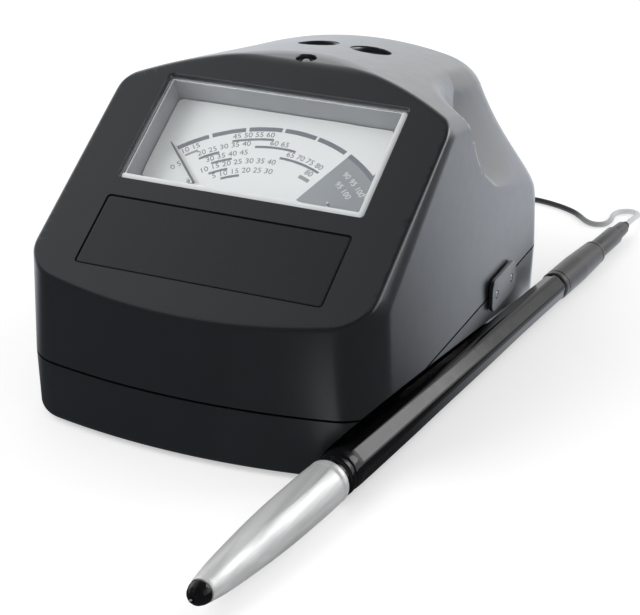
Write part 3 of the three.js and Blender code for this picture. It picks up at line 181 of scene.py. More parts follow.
def outward(points, quads, tris):
    """The same faces, turned over if the volume they enclose counts as negative."""
    a, b, c, d = (points[quads[:, k]] for k in range(4))
    volume = np.sum(np.cross(a, b) * c) + np.sum(np.cross(a, c) * d)
    if len(tris):
        e, f, g = (points[tris[:, k]] for k in range(3))
        volume += np.sum(np.cross(e, f) * g)
    if volume < 0:
        return points, quads[:, ::-1], tris[:, ::-1]
    return points, quads, tris


def stacked(loops):
    """A closed body from a stack of equal loops: faces run from each loop to the next, and a
    fan from the middle of the first and of the last loop closes its ends."""
    loops = np.asarray(loops, float)
    rows, around = loops.shape[:2]
    points = np.concatenate([loops.reshape(-1, 3), loops[[0, -1]].mean(1)])
    grid = np.arange(rows * around).reshape(rows, around)
    after = np.roll(grid, -1, axis=1)
    quads = np.stack([grid[:-1], after[:-1], after[1:], grid[1:]], -1).reshape(-1, 4)
    low = np.full(around, rows * around)
    first = np.stack([low, after[0], grid[0]], -1)
    last = np.stack([low + 1, grid[-1], after[-1]], -1)
    return outward(points, quads, np.concatenate([first, last]))


def ringed(loops):
    """A closed ring-shaped body: the stack's last loop joins its first again."""
    rows, around = loops.shape[:2]
    grid = np.arange(rows * around).reshape(rows, around)
    after = np.roll(grid, -1, axis=1)
    below = np.roll(grid, -1, axis=0)
    both = np.roll(below, -1, axis=1)
    quads = np.stack([grid, after, both, below], -1).reshape(-1, 4)
    return outward(loops.reshape(-1, 3), quads, np.zeros((0, 3), int))


def together(*bodies):
    """Several closed bodies as one."""
    starts = np.cumsum([0] + [len(body[0]) for body in bodies])
    points = np.concatenate([body[0] for body in bodies])
    quads = np.concatenate([body[1] + start for body, start in zip(bodies, starts)])
    return points, quads, np.concatenate([body[2] + start for body, start in zip(bodies, starts)])


def set_in(where, body):
    """A body given in a frame's own coordinates, in the drawn frame."""
    origin, axes = where
    return origin + np.asarray(body[0], float) @ axes, body[1], body[2]


def moved(body, by):
    return body[0] + by, body[1], body[2]


def polar(radius, angle, height):
    """Points at a radius, an angle and a height about local z."""
    spots = radius * np.cos(angle), radius * np.sin(angle), height
    return np.stack(np.broadcast_arrays(*spots), -1)


def at_height(outline, z):
    """Flat points lifted to one height."""
    return np.column_stack([outline, np.full(len(outline), z)])


def circle(count):
    return np.linspace(0, 2 * math.pi, count, endpoint=False)


def softened(profile, size, steps=4, ends=False):
    """A profile whose corners are replaced by short curves. Each curve is a weighted mean of a
    point before the corner, the corner and a point after it, with weights (1-t)^2, 2t(1-t)
    and t^2, and starts and ends at most size from the corner, and within a held share of the
    edge."""
    held = 0.45
    profile = np.asarray(profile, float)
    into = profile - np.roll(profile, 1, 0)
    on = np.roll(profile, -1, 0) - profile
    long_in = np.linalg.norm(into, axis=1, keepdims=True)
    long_on = np.linalg.norm(on, axis=1, keepdims=True)
    first = profile - into / np.maximum(long_in, TINY) * np.minimum(size, long_in * held)
    last = profile + on / np.maximum(long_on, TINY) * np.minimum(size, long_on * held)
    t = np.linspace(0, 1, steps + 1)[None, :, None]
    near, corner, far = first[:, None], profile[:, None], last[:, None]
    curve = near * (1 - t) ** 2 + corner * 2 * t * (1 - t) + far * t**2
    if ends:
        return curve.reshape(-1, 2)
    return np.concatenate([profile[:1], curve[1:-1].reshape(-1, 2), profile[-1:]])


def turned(profile, sides=96, size=0.25, reach=None, closed=False, steps=4):
    """A turned body about local z: the profile's radius r and height z give the points
    (r cos a, r sin a, z). reach(r, z, a) may change the radius with the angle. A closed
    profile gives a ring, another starts and ends on the axis."""
    path = softened(profile, size, steps, ends=closed)
    angle = circle(sides)[None, :]
    radius = np.repeat(path[:, :1], sides, 1)
    height = np.repeat(path[:, 1:], sides, 1)
    if reach is not None:
        radius = reach(radius, height, np.repeat(angle, len(path), 0))
    loops = polar(radius, angle, height)
    return ringed(loops) if closed else stacked(loops[1:-1])


def rounded_outline(half_x, half_y, corner, steps=6):
    """A rectangle with round corners about zero. Each corner point is the corner's middle
    plus its radius times the cosine and sine of the angle."""
    angle = np.arange(4)[:, None] * 90 - 90 + np.linspace(0, 90, steps + 1)[None, :]
    angle = angle * math.pi / 180
    sign = np.array([[1, -1], [1, 1], [-1, 1], [-1, -1]], float)
    middle = sign * np.array([half_x - corner, half_y - corner])
    x = middle[:, :1] + corner * np.cos(angle)
    y = middle[:, 1:] + corner * np.sin(angle)
    return np.stack([x.ravel(), y.ravel()], -1)


def tablet(x0, x1, y0, y1, z0, z1, corner, top=0.2, bottom=0.0):
    """A plate with round corners and rounded edges: outlines stacked in z, each drawn in by
    b (1 - sin t) where the edge's round of size b is at angle t, and smaller ones in its two
    flat ends, where the fans start."""
    end_inset, least, least_corner = 0.3, 0.02, 0.01
    half_x, half_y = (x1 - x0) / 2, (y1 - y0) / 2
    t = np.linspace(0, math.pi / 2, 5)
    low = [(bottom * (1 - math.sin(a)), z0 + bottom * (1 - math.cos(a))) for a in t]
    high = [(top * (1 - math.cos(a)), z1 - top * (1 - math.sin(a))) for a in t]
    stages = (low if bottom else [(0, z0)]) + (high if top else [(0, z1)])
    stages = [(stages[0][0] + end_inset, z0), *stages, (stages[-1][0] + end_inset, z1)]
    loops = []
    for inset, z in stages:
        half = (max(half_x - inset, least), max(half_y - inset, least))
        loop = at_height(rounded_outline(*half, max(corner - inset, least_corner)), z)
        loops.append(loop + [(x0 + x1) / 2, (y0 + y1) / 2, 0])
    return stacked(loops)


def block(x0, x1, y0, y1, z0, z1, corner=0.3):
    return tablet(x0, x1, y0, y1, z0, z1, corner, top=0)


def over_bay(half_x, half_y):
    """The limits in x and y of a plate about the middle of the battery bay."""
    return BAY_X - half_x, BAY_X + half_x, BAY_Y - half_y, BAY_Y + half_y


def along(line, radius, sides=12):
    """A round tube along a line of points. Its section's first direction is level and square
    to the line, so that the tube doesn't twist."""
    run = unit(np.gradient(line, axis=0))
    side = unit(np.cross(run, (0.0, 0.0, 1.0)))
    up = np.cross(side, run)
    angle = circle(sides)[None, :, None]
    around = side[:, None] * np.cos(angle) + up[:, None] * np.sin(angle)
    return stacked(line[:, None] + radius * around)


# Meshes and pieces.


def add_object(name, data):
    """An object in the scene."""
    obj = bpy.data.objects.new(name, data)
    bpy.context.scene.collection.objects.link(obj)
    return obj


def write_mesh(name, points, quads, tris):
    """A mesh from arrays of points, four-sided and three-sided faces."""
    quads = np.asarray(quads, np.int32).reshape(-1, 4)
    tris = np.asarray(tris, np.int32).reshape(-1, 3)
    sizes = np.concatenate([np.full(len(quads), 4), np.full(len(tris), 3)])
    mesh = bpy.data.meshes.new(name)
    mesh.vertices.add(len(points))
    mesh.vertices.foreach_set("co", np.asarray(points, np.float32).ravel())
    mesh.loops.add(int(sizes.sum()))
    corners = np.concatenate([quads.ravel(), tris.ravel()]).astype(np.int32)
    mesh.loops.foreach_set("vertex_index", corners)
    mesh.polygons.add(len(sizes))
    starts = np.concatenate([[0], np.cumsum(sizes)[:-1]]).astype(np.int32)
    mesh.polygons.foreach_set("loop_start", starts)
    mesh.update(calc_edges=True)
    return mesh


def read(items, what, width=0, kind=np.float32):
    """One property of all of a mesh's items, as an array; in rows if it has a width."""
    values = np.zeros(len(items) * max(width, 1), kind)
    items.foreach_get(what, values)
    return values.reshape(-1, width) if width else values


def plain_mesh(obj):
    """A mesh of the object as it looks after its modifiers."""
    depsgraph = bpy.context.evaluated_depsgraph_get()
    return bpy.data.meshes.new_from_object(obj.evaluated_get(depsgraph))


def shade(mesh, angle):
    """Smooth shading, with sharp edges where faces meet at more than the angle."""
    mesh.polygons.foreach_set("use_smooth", np.ones(len(mesh.polygons), bool))
    mesh.set_sharp_from_angle(angle=math.radians(angle))


def piece(name, body, material, slot, rides="tester", nodes=None, angle=SHARP):
    """A finished piece from a body in the drawn frame: its material, a slot, which is not used,
    the body that it rides on and the parts that it stands for, which is the one of its own
    name if none are given."""
    points, quads, tris = body
    obj = add_object(name, write_mesh(name, place(points), quads, tris))
    obj.data.materials.append(material)
    shade(obj.data, angle)
    if rides is not None:
        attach(obj, rides)
    nodes = (name,) if nodes is None else nodes
    if nodes:
        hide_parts(*nodes)
    return obj


def cut(obj, cutters, joined=()):
    """Joins bodies to a mesh, cuts others out of it, and keeps the result as plain mesh."""
    helpers = []
    for operation, bodies in (("UNION", joined), ("DIFFERENCE", cutters)):
        for points, quads, tris in bodies:
            helper = add_object("helper", write_mesh("helper", place(points), quads, tris))
            helpers.append(helper)
            modifier = obj.modifiers.new("cut", "BOOLEAN")
            modifier.operation = operation
            modifier.solver = "MANIFOLD"
            modifier.object = helper
    made = plain_mesh(obj)
    obj.modifiers.clear()
    old = obj.data
    obj.data = made
    made.name = old.name
    bpy.data.meshes.remove(old)
    made.set_sharp_from_angle(angle=math.radians(SHARP))
    for helper in helpers:
        mesh = helper.data
        bpy.data.objects.remove(helper)
        bpy.data.meshes.remove(mesh)


# Camera, at the photograph's viewing angle.

CAMERA_SPOT, CAMERA_DOWN, CAMERA_TURN, LENS = (239.7, -482.4, 285.3), 25.24, 23.93, 117.26
camera = add_object("camera", bpy.data.cameras.new("camera"))
bpy.context.scene.camera = camera
camera.location = place(CAMERA_SPOT)
camera.rotation_euler = (math.radians(90 - CAMERA_DOWN), 0, math.radians(CAMERA_TURN))
camera.data.lens = LENS
camera.data.sensor_width = 36
camera.data.clip_start = 0.01
camera.data.clip_end = 20
bpy.context.scene.view_settings.view_transform = "Standard"

# Finishes.


class Graph:
    """The nodes of a material or of the world, with short ways to add to them."""

    def __init__(self, owner):
        owner.use_nodes = True
        self.nodes, self.links = owner.node_tree.nodes, owner.node_tree.links

    def feed(self, socket, value):
        """Links another node's output to a socket, or sets the socket's constant."""
        if isinstance(value, bpy.types.NodeSocket):
            self.links.new(value, socket)
        else:
            socket.default_value = value

    def node(self, kind, inputs=(), output=0, **settings):
        """One output of a new node, with its settings, and its inputs by name or number."""
        node = self.nodes.new("ShaderNode" + kind)
        for setting, value in settings.items():
            setattr(node, setting, value)
        for socket, value in dict(inputs).items():
            self.feed(node.inputs[socket], value)
        return node.outputs[output]

    def ranged(self, value, low, high, from_low=0.3, from_high=0.7, **settings):
        """A value carried from one range to another, and held inside it."""
        limits = {"From Min": from_low, "From Max": from_high, "To Min": low, "To Max": high}
        return self.node("MapRange", {"Value": value, **limits}, **settings)

    def maths(self, operation, *values):
        return self.node("Math", enumerate(values), operation=operation)

    def axis(self, vector, name):
        return self.node("SeparateXYZ", {0: vector}, name)

    def ray(self, kind):
        """One for rays of a kind, zero for others."""
        return self.node("LightPath", output=f"Is {kind} Ray")


class Finish(Graph):
    """A material under construction, with its main shader."""

    def __init__(self, name, colour, roughness, **constants):
        self.material = bpy.data.materials.new(name)
        super().__init__(self.material)
        self.shader = self.nodes["Principled BSDF"]
        self.colour = (*colour, 1.0)
        self.roughness = roughness
        constants = {"Base_Color": self.colour, "Roughness": roughness, **constants}
        for socket, value in constants.items():
            self.shader.inputs[socket.replace("_", " ")].default_value = value
        self.material.diffuse_color = self.colour
        self.place = self.node("TexCoord", output="Object")

    def noise(self, scale, detail=3.0, stretch=None):
        where = self.place
        if stretch is not None:
            where = self.node("Mapping", {"Vector": where, "Scale": stretch})
        return self.node("TexNoise", {"Vector": where, "Scale": scale, "Detail": detail}, "Fac")

    def mix(self, factor, first, second):
        """Two colours mixed; 6 and 7 are the numbers of the mixer's colours, 2 its result's."""
        return self.node("Mix", {0: factor, 6: first, 7: second}, 2, data_type="RGBA")

    def tint(self, colour):
        self.feed(self.shader.inputs["Base Color"], colour)

    def mottled(self, scale, amount, stretch=None):
        """The colour goes lighter and darker by the given share over patches."""
        lighter = tuple(min(c * (1 + amount), 1) for c in self.colour[:3]) + (1.0,)
        darker = tuple(c * (1 - amount) for c in self.colour[:3]) + (1.0,)
        self.tint(self.mix(self.ranged(self.noise(scale, stretch=stretch), 0, 1), darker, lighter))

    def uneven(self, scale, amount, stretch=None):
        """The roughness goes up and down over patches."""
        low = max(self.roughness - amount, 0.02)
        spread = self.ranged(self.noise(scale, stretch=stretch), low, self.roughness + amount)
        self.feed(self.shader.inputs["Roughness"], spread)

    def grained(self, scale, depth, stretch=None):
        """Fine relief, depth metres from its low to its high places."""
        height = self.noise(scale, 2.0, stretch)
        bump = self.node("Bump", {"Strength": 1.0, "Distance": depth, "Height": height})
        self.feed(self.shader.inputs["Normal"], bump)

    def show(self, shader):
        """Puts another shader in the place of the main one, and gives the material."""
        self.feed(self.nodes["Material Output"].inputs["Surface"], shader)
        return self.material


def finished(name, colour, roughness, mottled=(60, 0.06), uneven=(220, 0.03),
             grained=(2600, 8e-6), **constants):
    """A material with mottling and slow waves of gloss, each of which may be left out, and fine
    relief. The values given here are those of moulded plastic with a spark-eroded grain."""
    finish = Finish(name, colour, roughness, **constants)
    if mottled:
        finish.mottled(*mottled)
    if uneven:
        finish.uneven(*uneven)
    finish.grained(*grained)
    return finish.material


BLUISH = {"Coat_Tint": (0.93, 0.965, 1.0, 1.0), "Specular_Tint": (0.9, 0.95, 1.0, 1.0)}
FLAT_INK = (2600, 2e-6)
casing_plastic = finished("casing_charcoal", (0.0085, 0.0088, 0.0105), 0.34, IOR=1.6,
                          Coat_Weight=1.0, Coat_IOR=1.8, Coat_Roughness=0.3, **BLUISH)
label_finish = finished("label_satin", (0.009, 0.0093, 0.0105), 0.26, (40, 0.05),
                        (400, 0.015, (1, 12, 12)), (1800, 8e-7, (0.15, 2, 2)), IOR=1.55,
                        Coat_Weight=1.0, Coat_IOR=1.6, Coat_Roughness=0.2, **BLUISH)
card = finished("dial_card", (0.955, 0.957, 0.945), 0.55, (25, 0.015), None, (3000, 4e-6))
print_grey = finished("dial_print", (0.20, 0.21, 0.235), 0.5, grained=FLAT_INK)
print_pale = finished("dial_print_pale", (0.34, 0.355, 0.375), 0.5, grained=FLAT_INK)
print_white = finished("white_print", (0.85, 0.86, 0.87), 0.4, grained=FLAT_INK)
tray_grey = finished("meter_tray_grey", (0.36, 0.372, 0.385), 0.32, (90, 0.08), None,
                     (260, 6e-5, (1, 5, 0.3)))
needle_paint = finished("pointer_grey", (0.13, 0.135, 0.15), 0.35, grained=FLAT_INK)
rubber_black = finished("black_rubber", (0.014, 0.014, 0.015), 0.62, grained=(1800, 2e-5))
recess_black = finished("recess_black", (0.004, 0.004, 0.0045), 0.7, Specular_IOR_Level=0.15)
gloss_black = finished("pen_gloss_black", (0.005, 0.005, 0.006), 0.12, grained=(3000, 1e-6),
                       IOR=1.52)
grip_grey = finished("pen_sleeve_grey", (0.03, 0.03, 0.032), 0.38, grained=(2200, 1e-5),
                     Coat_Weight=0.3, Coat_Roughness=0.3)
# The chrome's mottling is stretched into long streaks along the pen: painted reflection stripes,
# lighter and darker by 16 per cent.
chrome = finished("pen_nose_chrome", (0.78, 0.785, 0.79), 0.42, (420, 0.16, (1, 0.03, 1)),
                  (350, 0.1, (1, 0.05, 1)), (1500, 2e-6, (1, 0.05, 1)), Metallic=0.5)
steel = finished("plated_steel", (0.55, 0.56, 0.58), 0.28, None, (700, 0.08), (2400, 4e-6),
                 Metallic=1.0)
brass = finished("stamped_brass", (0.56, 0.42, 0.18), 0.3, None, (600, 0.08),
                 (1500, 5e-6, (0.2, 2, 1)), Metallic=1.0)
copper = finished("wound_copper", (0.55, 0.24, 0.12), 0.35, None, (900, 0.1),
                  (2600, 2e-5, (0.1, 0.1, 2)), Metallic=1.0)
magnet_grey = finished("sintered_magnet", (0.09, 0.092, 0.1), 0.5, None, (800, 0.1),
                       (1400, 3e-5), Metallic=0.8)
lamp_lens = finished("lamp_lens", (0.26, 0.27, 0.28), 0.3, (300, 0.04), None, (1200, 3e-6),
                     Coat_Weight=0.4, Coat_Roughness=0.2)
board_green = finished("board_green", (0.02, 0.12, 0.05), 0.4, (900, 0.25), None, (900, 2e-5),
                       Coat_Weight=0.4, Coat_Roughness=0.2)
cell_sleeve = finished("cell_sleeve", (0.04, 0.13, 0.30), 0.3, (200, 0.1), None, (500, 1e-5),
                       Coat_Weight=0.6, Coat_Roughness=0.1)
# Opaque pale grey for the clear cover's edges: painted highlights that stand for the bright lines
# of the clear bevel.
painted_highlight_edge = finished("cover_edge_painted_highlight", (0.84, 0.86, 0.87), 0.3, (120, 0.05), None, (500, 6e-6),
                      Coat_Weight=1.0)
buzzer_black = finished("buzzer_black", (0.012, 0.012, 0.013), 0.45)


# Share of the cord's length over which its painted glare near the pen comes in.
GLARE_FROM_TO = (0.90, 0.945)


def clear_plastic():
    """Clear moulded cover: refracts for the eye, and lets the light for the dial through."""
    finish = Finish("clear_cover", (0.97, 0.98, 0.985), 0.03, Transmission_Weight=1.0, IOR=1.45)
    finish.grained(500, 4e-6)
    unseen = finish.maths("MAXIMUM", finish.ray("Shadow"), finish.ray("Diffuse"))
    through = finish.node("BsdfTransparent", {"Color": (0.95, 0.96, 0.965, 1)})
    both = {0: unseen, 1: finish.shader.outputs[0], 2: through}
    return finish.show(finish.node("MixShader", both))


def cord_sheath():
    """Dark soft sheath with painted glare near the pen: over the last part of its length it turns
    pale grey, by the cord's own length attribute.
    """
    finish = Finish("cord_sheath", (0.03, 0.031, 0.034), 0.45)
    finish.uneven(600, 0.06)
    finish.grained(2200, 1e-5)
    share = finish.node("Attribute", output="Fac", attribute_name="along")
    # Painted glare: the sheath goes pale grey towards the pen's end.
    pale = finish.ranged(share, 0, 1, *GLARE_FROM_TO)
    finish.tint(finish.mix(pale, finish.colour, (0.62, 0.63, 0.64, 1.0)))
    return finish.material


# Cord: one tube from the plug, round the coil and on to the pen.

CORD_R, CORD_SIDES, CORD_STEP = 0.95, 12, 0.8
COIL = np.array([-14.0, 161.0, 0.0])
COIL_INNER, COIL_PITCH, COIL_RISE = 7.0, 2.5, 2.5
TURNS_IN, TURNS_OUT, LOOP_STEPS = 3.0, 2.5, 24
CORD_ROOT = [
    [21.9, 142, 9.7], [20.6, 145.7, 6.6], [17.2, 148.4, 3.4], [12, 149.2, 1.5], [6, 148.6, 1.0],
    [-1, 147.5, 1.0],
]
CORD_RUN = [
    [-4, 175.2, 2.3], [3, 176.8, 1.2], [11, 179.2, 1.0], [20, 181.9, 1.0], [28.9, 183.2, 1.0],
    [38, 181.2, 1.0], [45, 177.8, 1.0], [48.3, 174.9, 1.0], [51.6, 171.6, 1.0], [54.8, 170.2, 1.0],
    [57.8, 171.4, 1.0], [59, 174.4, 1.0], [59, 177.6, 1.0], [58.7, 181.2, 1.0], [60, 184.3, 1.1],
    [63, 185.6, 1.3], [66, 184.3, 1.6], [67.3, 181.2, 2.2], [67.6, 175.6, 3.4],
]
PLUG = rear_frame(*SOCKET[:2], out=FLANGE_THICK + FIT)
PLUG_LENGTH = 18.0
TIE_HALF_WIDE, TIE_HALF_THICK = 1.5, 0.25


def soft_step(low, high, value):
    t = np.clip((value - low) / (high - low), 0, 1)
    return t * t * (3 - 2 * t)


def coil_points():
    """The coil's middle line: its radius is the inner radius plus the pitch times the turns
    left to the innermost one, it turns clockwise from the front, and it climbs a layer in the
    half turn where the spiral reverses."""
    turn = np.linspace(0, TURNS_IN + TURNS_OUT, int((TURNS_IN + TURNS_OUT) * LOOP_STEPS) + 1)
    radius = COIL_INNER + COIL_PITCH * np.abs(turn - TURNS_IN)
    angle = -math.pi / 2 - 2 * math.pi * turn
    height = CORD_R + COIL_RISE * soft_step(TURNS_IN - 0.25, TURNS_IN + 0.25, turn)
    return COIL + polar(radius, angle, height)


def smooth_line(points, step):
    """A smooth line through points: on each stretch a cubic whose end slopes come from the
    points on both sides, spaced by the square root of their distances, and then evenly
    spaced points along it."""
    points = np.asarray(points, float)
    held = np.concatenate([[2 * points[0] - points[1]], points, [2 * points[-1] - points[-2]]])
    p0, p1, p2, p3 = held[:-3], held[1:-2], held[2:-1], held[3:]
    d0, d1, d2 = (
        np.sqrt(np.linalg.norm(b - a, axis=1))[:, None] for a, b in ((p0, p1), (p1, p2), (p2, p3))
    )
    s1 = ((p1 - p0) / d0 - (p2 - p0) / (d0 + d1) + (p2 - p1) / d1) * d1
    s2 = ((p2 - p1) / d1 - (p3 - p1) / (d1 + d2) + (p3 - p2) / d2) * d1
    t = np.linspace(0, 1, 13)[:-1][None, :, None]
    fine = (
        (2 * t**3 - 3 * t**2 + 1) * p1[:, None]
        + (t**3 - 2 * t**2 + t) * s1[:, None]
        + (3 * t**2 - 2 * t**3) * p2[:, None]
        + (t**3 - t**2) * s2[:, None]
    ).reshape(-1, 3)
    fine = np.concatenate([fine, points[-1:]])
    gone = np.concatenate([[0], np.cumsum(np.linalg.norm(np.diff(fine, axis=0), axis=1))])
    even = np.linspace(0, gone[-1], int(gone[-1] / step) + 1)
    return np.column_stack([np.interp(even, gone, fine[:, k]) for k in range(3)]), gone[-1]


coil = coil_points()
straight = 2 * CORD_R
entry = coil[0] + unit(coil[0] - coil[1]) * straight
leaving = coil[-1] + unit(coil[-1] - coil[-2]) * straight
plug_tip = PLUG[0] + [0, PLUG_LENGTH + FIT, 0]
nub_end = PEN_STATION + PEN_AXIS * (NUB_BACK + FIT)
at_plug, at_pen = [plug_tip, plug_tip + [0, straight, 0]], [nub_end + PEN_AXIS * straight, nub_end]
cord_points = [*at_plug, *CORD_ROOT, entry, *coil, leaving, *CORD_RUN, *at_pen]
cord_line, cord_length = smooth_line(cord_points, CORD_STEP)
cord = piece("cord", along(cord_line, CORD_R, CORD_SIDES), cord_sheath(), "cord", None, (), 60)
share = np.repeat(np.linspace(0, 1, len(cord_line)), CORD_SIDES)
length_share = cord.data.attributes.new("along", "FLOAT", "POINT")
length_share.data.foreach_set("value", np.append(share, [0, 1]).astype(np.float32))
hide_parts("cord_root_run", "cord_coil", "cord_run")
place((28.9, 183, 1))
place((66.8, 183, 1))
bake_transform(cord)


def tie_arch():
    """The tie's flat strip: a line that goes up one side of the bundle, over it and down the
    other side, with round shoulders, carries a section 3 wide and 0.5 thick."""
    inner = COIL_INNER - CORD_R - FIT - TIE_HALF_THICK
    outer = COIL_INNER + COIL_PITCH * TURNS_IN + CORD_R + FIT + TIE_HALF_THICK
    top = 2 * CORD_R + COIL_RISE + FIT + TIE_HALF_THICK
    line = softened([[inner, 0], [inner, top], [outer, top], [outer, 0]], 1.1, 6)
    run = unit(np.gradient(line, axis=0))
    square = np.column_stack([-run[:, 1], run[:, 0]])
    loops = []
    for wide, thick in ((-1, -1), (1, -1), (1, 1), (-1, 1)):
        edge = line + square * thick * TIE_HALF_THICK
        loops.append(at_height(edge, wide * TIE_HALF_WIDE)[:, [0, 2, 1]])
    return stacked(np.stack(loops, 1) + [COIL[0], COIL[1], 0])


piece("cord_tie_strip", tie_arch(), rubber_black, "rubber_black", nodes=("cord_tie",), angle=30)


def plug_reach(radius, height, angle):
    """Ribs round the grip and rings along the plug's flexible neck."""
    ribs = 0.12 * np.maximum(np.cos(18 * angle), 0)
    ribs = ribs * soft_step(1.5, 2.5, height) * soft_step(12, 11, height)
    rings = 0.16 * np.maximum(np.sin(height * 2 * math.pi / 1.25), 0)
    rings = rings * soft_step(13.4, 13.6, height)
    return radius - np.where(radius > 3.4, ribs, 0) - np.where(radius < 1.8, rings, 0)


neck = [[1.7 - 0.34 * t, 13 + 5 * t] for t in np.linspace(0, 1, 33)]
plug_profile = [[0, -6], [2.3, -6], [2.3, 0], [3.6, 0]]
plug_profile += [[3.6, z] for z in np.linspace(1, 12.4, 13)] + [[3.0, 13], *neck, [0, 18]]
plug_body = set_in(PLUG, turned(plug_profile, 144, 0.1, plug_reach))
piece("cord_plug", plug_body, rubber_black, "rubber_black", nodes=("probe_plug",))
place(plug_tip)
place(cord_line)

# Floor, background and light. The limits in y are metres in the part's frame, and each
# of the background's steps is from, to, first value and last value.

FLOOR_FAR = 6.0
FLOOR_GLOW = 0.48
FLOOR_SLANT = -1.87
NEAR_GLOSS, FAR_GLOSS = 0.04, 1.0
SLANT_LIMITS, STRAIGHT_LIMITS = (-0.13, -0.025), (-0.05, 0.03)
SKY_BAND = (0.35, 0.85, 1.0, 0.075)
SKY_BEHIND = (-0.3, 0.35, 0.04, 1.0)
BOX_LEFT = (-0.62, -0.2, 1.0, 0.0)
BOX_HIGH = (0.6, 0.85, 0.0, 0.42)
AMBIENT = 0.62
LAMP_AIM = (0, 0, 0.04)


def floor_finish():
    """Pale table top: white to the eye but for the object's shadow, and a soft picture of a
    bright far side and a darker near side to polished surfaces."""
    finish = Finish("pale_table", (0.62, 0.62, 0.62), 0.9)
    finish.mottled(3, 0.01)
    finish.grained(300, 5e-6)
    glow = finish.node("Emission", {"Strength": FLOOR_GLOW})
    lit = finish.node("AddShader", {0: finish.shader.outputs[0], 1: glow})
    x, y = finish.axis(finish.place, "X"), finish.axis(finish.place, "Y")
    slant = finish.maths("MULTIPLY_ADD", x, FLOOR_SLANT, y)
    steps = finish.ranged(slant, 0, 1, *SLANT_LIMITS), finish.ranged(y, 0, 1, *STRAIGHT_LIMITS)
    bright = finish.ranged(finish.maths("MULTIPLY", *steps), NEAR_GLOSS, FAR_GLOSS, 0, 1)
    picture = finish.node("Emission", {"Color": COOL, "Strength": bright})
    return finish.show(finish.node("MixShader", {0: finish.ray("Glossy"), 1: lit, 2: picture}))


far_corners = FLOOR_FAR * np.array([[-1, -1, 0], [1, -1, 0], [1, 1, 0], [-1, 1, 0]])
floor = add_object("floor", write_mesh("floor", far_corners, [[0, 1, 2, 3]], []))
floor.data.materials.append(floor_finish())


def studio_world():
    """White to the eye; in reflections a bright low band under a grey ceiling, dimmer towards
    the front, and a soft box high on the left; and an even soft light on everything."""
    world = bpy.data.worlds.new("studio")
    bpy.context.scene.world = world
    graph = Graph(world)
    background = graph.nodes["Background"]
    background.inputs["Color"].default_value = WHITE
    direction = graph.node("TexCoord", output="Generated")

    def stepped(axis, limits):
        start, end, first, last = limits
        along_axis = graph.axis(direction, axis)
        return graph.ranged(along_axis, first, last, start, end, interpolation_type="SMOOTHSTEP")

    sky = graph.maths("MULTIPLY", stepped("Z", SKY_BAND), stepped("Y", SKY_BEHIND))
    box = graph.maths("MULTIPLY", stepped("X", BOX_LEFT), stepped("Z", BOX_HIGH))
    both = graph.maths("ADD", sky, box)
    reflected = graph.node("Mix", {"Factor": graph.ray("Glossy"), "A": AMBIENT, "B": both})
    eye = graph.maths("MAXIMUM", graph.ray("Camera"), graph.ray("Transmission"))
    seen = graph.node("Mix", {"Factor": eye, "A": reflected, "B": 1.0})
    graph.feed(background.inputs["Strength"], seen)


studio_world()


def soft_lamp(name, position, size, watts, glossy):
    """A square soft lamp that faces the object, with or without highlights of its own."""
    lamp = bpy.data.lights.new(name, "AREA")
    lamp.shape = "SQUARE"
    lamp.size = size
    lamp.energy = watts
    obj = add_object(name, lamp)
    z = unit(np.array(position) - LAMP_AIM)
    x = unit(np.cross((0, 0, 1), z))
    matrix = np.eye(4)
    matrix[:3] = np.column_stack([x, np.cross(z, x), z, position])
    obj.matrix_world = Matrix(matrix.tolist())
    obj.visible_glossy = glossy


soft_lamp("lamp_front_left", (-0.7, -0.7, 1.0), 0.9, 9, False)
soft_lamp("lamp_rear_right", (0.9, 0.8, 0.9), 0.8, 5, True)

# Housing, as a rounded field: each surface is a distance, and where two meet the larger one
# counts, with a round of its own size.


def rounded_max(a, b, radius):
    """The larger of two distances with a round where they meet: inside the round the value is
    the length of the two overshoots over minus the radius, taken together, less the radius."""
    over = np.hypot(np.maximum(a + radius, 0), np.maximum(b + radius, 0))
    return np.minimum(np.maximum(a, b), -radius) + over


SCOOP_DEEP, SCOOP_SPREAD, SCOOP_ROUND, SCOOP_SOFT, SOFT_FROM, SOFT_TO = 21, 14.3, 10.4, 15, 62, 100
STEEP_EDGE, LOW_EDGE = (44.7, 80, 25.4), (81.5, 47, 20.7)


def scoop_depth(y, z):
    """Depth of the rear scoop: a share 1 - exp(-g / spread) of its greatest depth, where g
    grows from the scoop's rounded edge, softly at first and more softly to the back. Each of
    the two straight edges is a place in y and z and an angle."""
    edge_y, edge_z, angle = STEEP_EDGE
    steep = (y - edge_y) * cos(angle) + (z - edge_z) * sin(angle)
    edge_y, edge_z, angle = LOW_EDGE
    low = (y - edge_y) * sin(angle) + (z - edge_z) * cos(angle)
    inside = np.maximum(-rounded_max(-steep, -low, SCOOP_ROUND), 0)
    soft = SCOOP_SOFT * soft_step(SOFT_FROM, SOFT_TO, y)
    grown = inside * inside / np.maximum(inside + soft, TINY)
    return SCOOP_DEEP * (1 - np.exp(-grown / SCOOP_SPREAD))


def wall_distance(p):
    """Distance outside the drafted walls: two scooped sides, a bowed front and a bowed rear
    that leans forward above its waist, with round corners."""
    x, y, z = p[..., 0], p[..., 1], p[..., 2]
    above = z - PARTING
    inset = np.where(above > 0, above * tan(UPPER_DRAFT), -above * tan(LOWER_DRAFT))
    side = np.abs(x) - (WIDTH / 2 - inset - scoop_depth(y, z))
    front = np.hypot(x, y - (FRONT_Y + inset / 4 + FRONT_BOW)) - FRONT_BOW
    leaned = np.maximum(z - LEAN_FROM, 0) * tan(LEAN)
    rear = np.hypot(x, y - (REAR_Y - inset / 4 - leaned - REAR_BOW)) - REAR_BOW
    return np.maximum(rounded_max(side, front, FRONT_CORNER), rounded_max(side, rear, REAR_CORNER))


